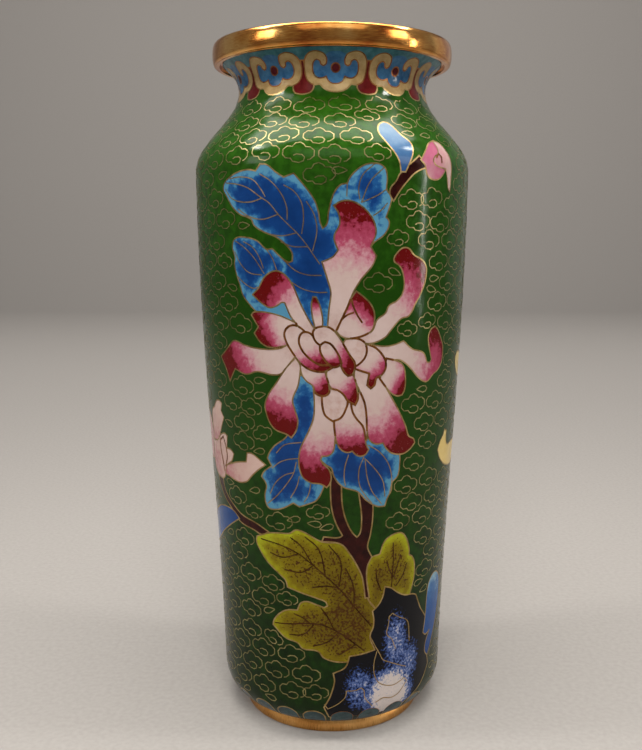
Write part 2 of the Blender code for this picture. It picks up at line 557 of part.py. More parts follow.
for old in list(bpy.data.objects):
    bpy.data.objects.remove(old)
vase_collection = bpy.data.collections.new("cloisonne_vase")
cutter_collection = bpy.data.collections.new("cutters")
bpy.context.scene.collection.children.link(vase_collection)
bpy.context.scene.collection.children.link(cutter_collection)

# Copper body: a base cup with its floor, a rolled wall and a spun neck, brazed end to end
floor_top = FOOT_RING_HEIGHT + COPPER_DEPTH + COPPER_THICKNESS
cup_outer = between(sunk_profile(COPPER_DEPTH), floor_top - COPPER_THICKNESS, BOWL_TOP)
cup_inner = between(sunk_profile(COPPER_DEPTH + COPPER_THICKNESS), floor_top, BOWL_TOP)
cup_floor = [Vector((0.0, floor_top)), Vector((0.0, floor_top - COPPER_THICKNESS))]
copper_base = turned("copper_base", cup_outer + cup_inner[::-1] + cup_floor)
copper_wall = ring_shell("copper_wall", COPPER_DEPTH, COPPER_DEPTH + COPPER_THICKNESS,
                         BOWL_TOP + FIT_GAP, SHOULDER_START)
copper_neck = ring_shell("copper_neck", COPPER_DEPTH, COPPER_DEPTH + COPPER_THICKNESS,
                         SHOULDER_START + FIT_GAP, COLLAR_TOP)
for piece in (copper_base, copper_wall, copper_neck):
    finish_part(piece, COPPER, 0.45, 1.0)

# Counter enamel: the lining covers the inside wall and floor, and a disc covers the underside
lining_floor = floor_top + FIT_GAP
lining_outer = between(sunk_profile(LINING_DEPTH), lining_floor, COLLAR_TOP)
lining_inner = between(sunk_profile(LINING_INSIDE_DEPTH), lining_floor + LINING_THICKNESS, COLLAR_TOP)
lining_disc = [Vector((0.0, lining_floor + LINING_THICKNESS)), Vector((0.0, lining_floor))]
lining = turned("lining_enamel", lining_outer + lining_inner[::-1] + lining_disc)
finish_part(lining, TURQUOISE, 0.25)

foot_bore = SEAT_RADIUS - FOOT_RING_WIDTH
underside_top = floor_top - COPPER_THICKNESS - FIT_GAP
underside = turned("underside_enamel", [
    Vector((0.0, underside_top)), Vector((foot_bore - FIT_GAP, underside_top)),
    Vector((foot_bore - FIT_GAP, underside_top - UNDERSIDE_THICKNESS)),
    Vector((0.0, underside_top - UNDERSIDE_THICKNESS))])
finish_part(underside, TURQUOISE, 0.3)

# Gilt rings: a rounded band whose skirt hangs over the lip, and a stepped ring that seats under the
# base cup's floor
ring_low = COLLAR_TOP + FIT_GAP
ring_bore = sunk_profile(LINING_INSIDE_DEPTH)[-1].x - MOUTH_RING_LIP
ring_edge = COLLAR_RADIUS + MOUTH_RING_EDGE
ring_bulge = COLLAR_RADIUS + MOUTH_RING_BULGE
skirt_low = COLLAR_TOP - MOUTH_RING_SKIRT
skirt_bore = COLLAR_RADIUS + MOUTH_RING_CLEARANCE
ring_middle = (skirt_low + TOTAL_HEIGHT) / 2
mouth_ring = turned("mouth_ring", [
    Vector((ring_bore + MOUTH_RING_ROUND / 2, TOTAL_HEIGHT)),
    Vector((ring_edge - MOUTH_RING_ROUND / 2, TOTAL_HEIGHT)),
    Vector((ring_edge + MOUTH_RING_ROUND / 4, TOTAL_HEIGHT - MOUTH_RING_ROUND / 2)),
    Vector((ring_bulge, ring_middle)),
    Vector((ring_edge + MOUTH_RING_ROUND / 4, skirt_low + MOUTH_RING_ROUND / 4)),
    Vector((ring_edge, skirt_low)),
    Vector((skirt_bore, skirt_low)),
    Vector((skirt_bore, ring_low)),
    Vector((ring_bore, ring_low)),
    Vector((ring_bore, TOTAL_HEIGHT - MOUTH_RING_ROUND / 2))])
finish_part(mouth_ring, GILT, 0.3, 1.0)

foot_ledge = FOOT_RING_HEIGHT - FIT_GAP
foot_step = SEAT_RADIUS - FOOT_RING_STEP
foot_ring = turned("foot_ring", [
    Vector((SEAT_RADIUS, foot_ledge)), Vector((SEAT_RADIUS + FOOT_RING_FLARE, 0.0)),
    Vector((foot_bore, 0.0)), Vector((foot_bore, underside_top)),
    Vector((foot_step, underside_top)), Vector((foot_step, foot_ledge))])
finish_part(foot_ring, GILT, 0.35, 1.0)

# The enamel coat over the copper, from which every cell of the pattern is cut
coat = ring_shell("coat", 0.0, ENAMEL_THICKNESS, FOOT_RING_HEIGHT, COLLAR_TOP)


def ruyi_edge(turn):
    """The collar's lower edge: broad ruyi heads with pendants between them."""
    wave = math.cos(2 * RUYI_COUNT * turn)
    return COLLAR_TOP - RUYI_DROP + RUYI_WAVE * (0.5 - 0.5 * wave)


def scallop_edge(turn):
    """The foot border's upper edge: a row of round scallops."""
    swing = abs(math.sin(FOOT_SCALLOP_COUNT * turn / 2))
    return FOOT_RING_HEIGHT + FOOT_BORDER_HEIGHT - FOOT_SCALLOP_RISE * (1 - math.sqrt(swing))


def inset_edge(edge, distance):
    return lambda turn: edge(turn) + distance


above = COLLAR_TOP + COLLAR_HEIGHT
below = -FOOT_RING_HEIGHT
collar = copy_of(coat, "collar_enamel")
cut(collar, "INTERSECT", [border_cutter("collar_cutter", ruyi_edge, above)])
finish_part(collar, TURQUOISE, 0.2)
foot_border = copy_of(coat, "foot_border_enamel")
cut(foot_border, "INTERSECT", [border_cutter("foot_border_cutter", scallop_edge, below)])
finish_part(foot_border, TURQUOISE, 0.25)
border_room = [border_cutter("collar_room", inset_edge(ruyi_edge, -WIRE_GAP), above),
               border_cutter("foot_border_room", inset_edge(scallop_edge, WIRE_GAP), below)]

# Motif cells: each is its outline's share of the coat, less a wire's width round the borders and
# round the cells that lie over it
drawn = [point for name, colour, outline in CELLS for point in outline]
drawn_low = min(height for across, height in drawn)
height_scale = MOTIF_HEIGHT / (max(height for across, height in drawn) - drawn_low)
across_scale = MOTIF_WIDTH / (max(across for across, height in drawn) - min(across for across, height in drawn))
motif = [(name, colour, [(across * across_scale, MOTIF_BASE + (height - drawn_low) * height_scale)
                         for across, height in outline]) for name, colour, outline in CELLS]
rooms = [wrapped_cutter(name + "_room", grown(outline, WIRE_GAP)) for name, colour, outline in motif]
for order, (name, colour, outline) in enumerate(motif):
    cell = copy_of(coat, name)
    cut(cell, "INTERSECT", [wrapped_cutter(name + "_cutter", grown(outline, 0.0))])
    over = [rooms[later] for later in range(order + 1, len(motif))
            if boxes_meet(outline, motif[later][2])]
    cut(cell, "DIFFERENCE", over + border_room)
    keep_faces(cell, islands(cell)[0])
    finish_part(cell, colour, 0.22)

# Green ground: what the borders and the motif leave of the coat, with its closed pockets apart
cut(coat, "DIFFERENCE", border_room + rooms)
for index, faces in enumerate(islands(coat)):
    name = "ground_enamel" if index == 0 else "ground_pocket_" + str(index)
    finish_part(keep_faces(copy_of(coat, name), faces), GREEN, 0.22)
bpy.data.objects.remove(coat)

# From millimetres to metres
for piece in bpy.data.objects:
    piece.data.transform(Matrix.Scale(MM, 4))
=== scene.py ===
"""A cloisonne vase in wired enamel, dressed over its solids."""

import bisect
import heapq
import math
import random

import bmesh
import bpy
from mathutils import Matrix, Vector, kdtree
from mathutils.geometry import delaunay_2d_cdt


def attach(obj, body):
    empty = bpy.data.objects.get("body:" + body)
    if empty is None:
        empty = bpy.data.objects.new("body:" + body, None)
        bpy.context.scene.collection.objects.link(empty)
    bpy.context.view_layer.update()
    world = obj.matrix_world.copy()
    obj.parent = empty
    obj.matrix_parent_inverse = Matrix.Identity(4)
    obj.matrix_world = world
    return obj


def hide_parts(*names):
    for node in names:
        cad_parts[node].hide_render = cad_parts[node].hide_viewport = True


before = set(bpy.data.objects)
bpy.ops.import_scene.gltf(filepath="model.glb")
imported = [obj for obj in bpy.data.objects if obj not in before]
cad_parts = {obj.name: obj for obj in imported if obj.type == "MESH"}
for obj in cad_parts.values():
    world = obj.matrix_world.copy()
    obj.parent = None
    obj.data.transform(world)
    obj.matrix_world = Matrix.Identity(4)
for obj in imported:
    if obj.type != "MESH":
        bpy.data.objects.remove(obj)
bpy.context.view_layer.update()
bpy.ops.object.select_all(action="DESELECT")
bpy.context.scene.view_settings.view_transform = "Standard"

# Copper body: a base cup with its floor, a rolled wall and a spun neck, brazed end to end.
# The metal is about 0.9 mm thick and bare; enamel covers it on both sides, so none of it shows.
MM = 0.001
FOOT_TOP, BOWL_RISE, BELLY_RISE, SHOULDER_RISE, COLLAR_RISE = 3.4, 9.6, 151.0, 23.0, 7.4
BOWL_TOP = FOOT_TOP + BOWL_RISE
SHOULDER_START = BOWL_TOP + BELLY_RISE
NECK_LEVEL = SHOULDER_START + SHOULDER_RISE
COLLAR_TOP = NECK_LEVEL + COLLAR_RISE
SEAT_RADIUS, BOWL_RADIUS, SHOULDER_RADIUS, NECK_RADIUS, LIP_RADIUS = 26.4, 34.0, 40.3, 27.4, 32.0
BELLY_SWELL, BELLY_TURN = 1.406, 0.288
COPPER_DEPTH, COPPER_WALL, SEAM_GAP = 1.0, 0.9, 0.3
FLOOR_UNDER, FLOOR_TOP = 4.4, 5.3


def vase_radius(height):
    """The enamelled body's outer radius at a height, in millimetres."""
    if height < BOWL_TOP:
        turn = math.acos(min(1.0, (BOWL_TOP - height) / BOWL_RISE))
        return SEAT_RADIUS + (BOWL_RADIUS - SEAT_RADIUS) * math.sin(turn) ** 1.25
    if height < SHOULDER_START:
        share = (height - BOWL_TOP) / BELLY_RISE
        swell = share + BELLY_SWELL * share * (1 - share) * (share - BELLY_TURN)
        return BOWL_RADIUS + (SHOULDER_RADIUS - BOWL_RADIUS) * swell
    if height < NECK_LEVEL:
        share = (height - SHOULDER_START) / SHOULDER_RISE
        return SHOULDER_RADIUS + (NECK_RADIUS - SHOULDER_RADIUS) * (0.5 - 0.5 * math.cos(math.pi * share))
    share = (height - NECK_LEVEL) / COLLAR_RISE
    return NECK_RADIUS + (LIP_RADIUS - NECK_RADIUS) * max(share, 0.0) ** 2.2


def vase_slope(height):
    """How much the outer radius grows for each millimetre of height."""
    return (vase_radius(height + 0.05) - vase_radius(height - 0.05)) / 0.1


def wall_levels(bowl_steps, belly_steps, shoulder_steps=16, collar_steps=6):
    """Heights up the wall, closer together where it curves."""
    levels = [FOOT_TOP + BOWL_RISE * (1 - math.cos(math.pi / 2 * step / bowl_steps))
              for step in range(bowl_steps)]
    levels += [BOWL_TOP + BELLY_RISE * step / belly_steps for step in range(belly_steps)]
    levels += [SHOULDER_START + SHOULDER_RISE * step / shoulder_steps for step in range(shoulder_steps)]
    return levels + [NECK_LEVEL + COLLAR_RISE * step / collar_steps for step in range(collar_steps + 1)]


def wall_line(depth, low, high):
    """The wall's outline at a depth under the enamel's face, from one height up to another."""
    line = []
    for level in wall_levels(9, 24):
        run = Vector((vase_slope(level), 1.0)).normalized()
        line.append((vase_radius(level) - depth * run.y, level + depth * run.x))

    def at(height):
        for (radius, level), (next_radius, next_level) in zip(line, line[1:]):
            if level <= height <= next_level:
                return (radius + (next_radius - radius) * (height - level) / (next_level - level), height)
        return ((line[0] if height < line[0][1] else line[-1])[0], height)

    return [at(low)] + [point for point in line if low + 0.2 < point[1] < high - 0.2] + [at(high)]


def dress(piece, finish, slot, *node_names):
    """Give a piece its finish, set it on the one body, and hide the solids it replaces; slot is not used."""
    piece.data.materials.append(finish)
    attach(piece, "root")
    if node_names:
        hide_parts(*node_names)


def turn_on_lathe(name, outline, steps=144, sharp=35):
    """Extrude a point along a closed outline of (radius, height), and spin it about the vase's axis."""
    bpy.ops.mesh.primitive_plane_add(size=MM)
    piece = bpy.context.object
    piece.name = name
    piece.data.name = name
    bpy.ops.object.mode_set(mode="EDIT")
    bpy.ops.mesh.select_all(action="SELECT")
    bpy.ops.mesh.merge(type="CENTER")
    bpy.ops.transform.translate(value=(outline[0][0] * MM, 0, outline[0][1] * MM))
    for (radius, level), (next_radius, next_level) in zip(outline, outline[1:] + outline[:1]):
        step = ((next_radius - radius) * MM, 0, (next_level - level) * MM)
        bpy.ops.mesh.extrude_region_move(TRANSFORM_OT_translate={"value": step})
    bpy.ops.mesh.select_all(action="SELECT")
    bpy.ops.mesh.remove_doubles(threshold=1e-6)
    bpy.ops.mesh.select_all(action="SELECT")
    bpy.ops.mesh.spin(steps=steps, angle=math.tau, center=(0, 0, 0), axis=(0, 0, 1))
    bpy.ops.mesh.select_all(action="SELECT")
    bpy.ops.mesh.remove_doubles(threshold=1e-6)
    bpy.ops.mesh.normals_make_consistent(inside=False)
    bpy.ops.object.mode_set(mode="OBJECT")
    bpy.ops.object.shade_smooth_by_angle(angle=math.radians(sharp))
    bpy.ops.object.select_all(action="DESELECT")
    return piece


def start_material(name, metallic, roughness):
    """A material's node tree with its shader and its Object coordinates."""
    finish = bpy.data.materials.new(name)
    finish.use_nodes = True
    shader = finish.node_tree.nodes["Principled BSDF"]
    shader.inputs["Metallic"].default_value = metallic
    shader.inputs["Roughness"].default_value = roughness
    place = finish.node_tree.nodes.new("ShaderNodeTexCoord")
    return finish, finish.node_tree, shader, place.outputs["Object"]


def feed(tree, socket, value):
    """Set a socket to a plain number, or link another node's output to it."""
    if isinstance(value, (int, float)):
        socket.default_value = value
    else:
        tree.links.new(value, socket)


def noise(tree, place, scale, detail=2.0, roughness=0.5):
    """A noise pattern at a scale per metre."""
    texture = tree.nodes.new("ShaderNodeTexNoise")
    for socket, value in [("Vector", place), ("Scale", scale), ("Detail", detail), ("Roughness", roughness)]:
        feed(tree, texture.inputs[socket], value)
    return texture.outputs["Fac"]


def colour_ramp(tree, source, stops):
    """A value's colour on a ramp of (position, colour) stops."""
    ramp = tree.nodes.new("ShaderNodeValToRGB")
    while len(ramp.color_ramp.elements) < len(stops):
        ramp.color_ramp.elements.new(1.0)
    for element, (position, colour) in zip(ramp.color_ramp.elements, stops):
        element.position = position
        element.color = (*colour, 1.0)
    feed(tree, ramp.inputs["Fac"], source)
    return ramp.outputs["Color"]


copper, tree, shader, place = start_material("bare_copper", 1.0, 0.45)
feed(tree, shader.inputs["Base Color"], colour_ramp(
    tree, noise(tree, place, 140.0, 5.0), [(0.35, (0.30, 0.12, 0.06)), (0.65, (0.56, 0.25, 0.12))]))


def copper_sheet(outer_low, inner_low, high):
    """The outline of a copper section, up its outer face and down its inner one."""
    return (wall_line(COPPER_DEPTH, outer_low, high)
            + wall_line(COPPER_DEPTH + COPPER_WALL, inner_low, high)[::-1])


cup = copper_sheet(FLOOR_UNDER, FLOOR_TOP, BOWL_TOP) + [(0.0, FLOOR_TOP), (0.0, FLOOR_UNDER)]
tube = copper_sheet(BOWL_TOP + SEAM_GAP, BOWL_TOP + SEAM_GAP, SHOULDER_START)
neck = copper_sheet(SHOULDER_START + SEAM_GAP, SHOULDER_START + SEAM_GAP, COLLAR_TOP)
for name, outline in [("copper_base", cup), ("copper_wall", tube), ("copper_neck", neck)]:
    dress(turn_on_lathe(name + "_sheet", outline), copper, "copper", name)

# Counter enamel: a plain turquoise coat fired inside the body and on the underside of the floor.
# It balances the pull of the outer enamel; it has no wires and a slightly uneven, pitted face.
LINING_FACE, LINING_BACK, LINING_FLOOR, LINING_UNDER = 2.8, 2.2, 6.2, 5.6


def maths(tree, operation, *terms):
    """The result of a Math node on terms that are outputs or plain numbers."""
    step = tree.nodes.new("ShaderNodeMath")
    step.operation = operation
    for socket, term in zip(step.inputs, terms):
        feed(tree, socket, term)
    return step.outputs["Value"]


def map_range(tree, source, low, high, to_low=0.0, to_high=1.0):
    """A value carried from one range over to another, and held at its ends."""
    carried = tree.nodes.new("ShaderNodeMapRange")
    for socket, value in [("Value", source), ("From Min", low), ("From Max", high), ("To Min", to_low),
                          ("To Max", to_high)]:
        feed(tree, carried.inputs[socket], value)
    return carried.outputs["Result"]


def bumped(tree, height, strength, distance):
    """The normal of a face with slight relief."""
    bump = tree.nodes.new("ShaderNodeBump")
    for socket, value in [("Height", height), ("Strength", strength), ("Distance", distance)]:
        feed(tree, bump.inputs[socket], value)
    return bump.outputs["Normal"]


def fired_surface():
    """Fired glass: a soft cloudy mottle, fine grains, and the slight waves and pits of a polished face."""
    group = bpy.data.node_groups.new("fired_surface", "ShaderNodeTree")
    for name, way, kind in [("Vector", "INPUT", "Vector"), ("Cloud Scale", "INPUT", "Float"),
                            ("Grain Scale", "INPUT", "Float"), ("Cloud", "OUTPUT", "Float"),
                            ("Grain", "OUTPUT", "Float"), ("Roughness", "OUTPUT", "Float"),
                            ("Normal", "OUTPUT", "Vector")]:
        group.interface.new_socket(name=name, in_out=way, socket_type="NodeSocket" + kind)
    given, result = group.nodes.new("NodeGroupInput"), group.nodes.new("NodeGroupOutput")
    place = given.outputs["Vector"]
    cloud = noise(group, place, given.outputs["Cloud Scale"], 4.0, 0.6)
    pits = map_range(group, noise(group, place, 900.0), 0.24, 0.32, -0.6, 0.0)
    waves = noise(group, place, 160.0)
    feed(group, result.inputs["Cloud"], cloud)
    feed(group, result.inputs["Grain"], noise(group, place, given.outputs["Grain Scale"]))
    feed(group, result.inputs["Roughness"], map_range(group, cloud, 0.3, 0.7, 0.10, 0.19))
    feed(group, result.inputs["Normal"], bumped(group, maths(group, "ADD", waves, pits), 0.22, 0.00012))
    return group


FIRED = fired_surface()


def enamel(name, stops, along=0.0, inset=0.0, cloud=1.0, cloud_scale=420.0, grain_scale=2600.0,
           speck=None, speck_low=0.58, speck_along=0.0, speck_inset=0.0):
    """Enamel coloured by a ramp over the way along its cell, the way in from its wire and a mottle.

    A speck colour is sifted over it as grains, thicker where speck_along or speck_inset raise it.
    """
    finish, tree, shader, place = start_material(name, 0.0, 0.15)
    shader.inputs["Specular IOR Level"].default_value = 0.14
    fired = tree.nodes.new("ShaderNodeGroup")
    fired.node_tree = FIRED
    for socket, value in [("Vector", place), ("Cloud Scale", cloud_scale), ("Grain Scale", grain_scale)]:
        feed(tree, fired.inputs[socket], value)
    for socket in ("Roughness", "Normal"):
        feed(tree, shader.inputs[socket], fired.outputs[socket])

    def driven(value, along_weight, inset_weight):
        for attribute, weight in (("along", along_weight), ("inset", inset_weight)):
            if weight:
                reading = tree.nodes.new("ShaderNodeAttribute")
                reading.attribute_name = attribute
                value = maths(tree, "MULTIPLY_ADD", reading.outputs["Fac"], weight, value)
        return value

    mottle = maths(tree, "MULTIPLY", fired.outputs["Cloud"], cloud)
    colour = colour_ramp(tree, driven(mottle, along, inset), stops)
    if speck:
        sifted = tree.nodes.new("ShaderNodeMix")
        sifted.data_type = "RGBA"
        grains = driven(fired.outputs["Grain"], speck_along, speck_inset)
        feed(tree, sifted.inputs["Factor"], map_range(tree, grains, speck_low, speck_low + 0.10))
        feed(tree, sifted.inputs["A"], colour)
        sifted.inputs["B"].default_value = (*speck, 1.0)
        colour = sifted.outputs["Result"]
    feed(tree, shader.inputs["Base Color"], colour)
    return finish


turquoise = enamel("turquoise_counter_enamel", [(0.30, (0.035, 0.20, 0.26)), (0.70, (0.07, 0.32, 0.40))],
                   speck=(0.02, 0.10, 0.13), speck_low=0.68)
lining = turn_on_lathe("lining_coat", wall_line(LINING_BACK, LINING_UNDER, COLLAR_TOP)
                       + wall_line(LINING_FACE, LINING_FLOOR, COLLAR_TOP)[::-1]
                       + [(0.0, LINING_FLOOR), (0.0, LINING_UNDER)])
dress(lining, turquoise, "turquoise_enamel", "lining_enamel")
underside = turn_on_lathe("underside_coat", [(0.0, 4.1), (23.1, 4.1), (23.1, 3.7), (22.9, 3.5), (0.0, 3.5)])
dress(underside, turquoise, "turquoise_enamel", "underside_enamel")

# Mouth ring: a rounded band of gilt copper that caps the lip, spun, soldered on and brushed round.
# Its gilding is worn a little redder in patches, and those dark red-brown patches are also painted dark
# reflection.
RIM_TOP, RIM_SIDE, RIM_MIDDLE, RIM_BULGE, RIM_HALF = 200.0, 33.95, 196.95, 0.95, 2.9


def gilt(name, stops, rings, strokes, patch_scale, polish, relief):
    """Gilt metal with brush lines round it (rings) or up and down it (strokes), and patches of wear; on the
    mouth ring its dark patches are also painted dark reflection.
    """
    finish, tree, shader, place = start_material(name, 1.0, 0.3)
    split = tree.nodes.new("ShaderNodeSeparateXYZ")
    feed(tree, split.inputs["Vector"], place)
    turn = maths(tree, "ARCTAN2", split.outputs["X"], split.outputs["Y"])
    lines = tree.nodes.new("ShaderNodeCombineXYZ")
    feed(tree, lines.inputs["X"], maths(tree, "MULTIPLY", turn, strokes))
    feed(tree, lines.inputs["Y"], maths(tree, "MULTIPLY", split.outputs["Z"], rings))
    brush = noise(tree, lines.outputs["Vector"], 1.0, 3.0)
    wear_and_dark_reflection = maths(tree, "MULTIPLY_ADD", brush, 0.45, noise(tree, place, patch_scale, 4.0))
    feed(tree, shader.inputs["Base Color"], colour_ramp(tree, wear_and_dark_reflection, stops))
    feed(tree, shader.inputs["Roughness"], map_range(tree, brush, 0.3, 0.7, *polish))
    feed(tree, shader.inputs["Normal"], bumped(tree, brush, relief, 0.00006))
    return finish


band = [(28.7, 194.7), (32.9, 194.7), (32.9, 193.9), (33.9, 193.9)]
for step in range(15):
    swing = math.pi * (step / 14 - 0.5)
    band.append((RIM_SIDE + RIM_BULGE * math.cos(swing) ** 0.7, RIM_MIDDLE + RIM_HALF * math.sin(swing)))
band += [(33.4, RIM_TOP - 0.03), (32.6, RIM_TOP), (30.0, RIM_TOP), (29.3, RIM_TOP - 0.2),
         (28.85, RIM_TOP - 0.6), (28.7, RIM_TOP - 1.2)]
# The dark red-brown stops are partly wear and partly painted dark reflection.
brushed_gilt = gilt("brushed_gilt", [
    (0.50, (0.40, 0.10, 0.020)), (0.68, (0.68, 0.29, 0.065)), (0.92, (0.90, 0.54, 0.18))],
    rings=5200.0, strokes=14.0, patch_scale=85.0, polish=(0.10, 0.22), relief=0.10)
dress(turn_on_lathe("mouth_ring_band", band, steps=180, sharp=50), brushed_gilt, "gilt", "mouth_ring")

# Foot ring: a plain gilt copper ring that the vase stands on, soldered under the base cup.
# It is brushed up and down, and duller and browner than the mouth ring from handling.
foot = [(26.4, 3.1), (26.6, 2.6), (27.4, 0.5), (27.25, 0.12), (27.0, 0.0), (23.8, 0.0), (23.5, 0.15),
        (23.4, 0.5), (23.4, 4.1), (25.7, 4.1), (25.7, 3.1)]
worn_gilt = gilt("worn_gilt", [
    (0.42, (0.31, 0.115, 0.026)), (0.62, (0.58, 0.27, 0.070)), (0.90, (0.80, 0.45, 0.16))],
    rings=500.0, strokes=110.0, patch_scale=90.0, polish=(0.26, 0.42), relief=0.14)
dress(turn_on_lathe("foot_ring_band", foot, steps=180, sharp=50), worn_gilt, "gilt", "foot_ring")

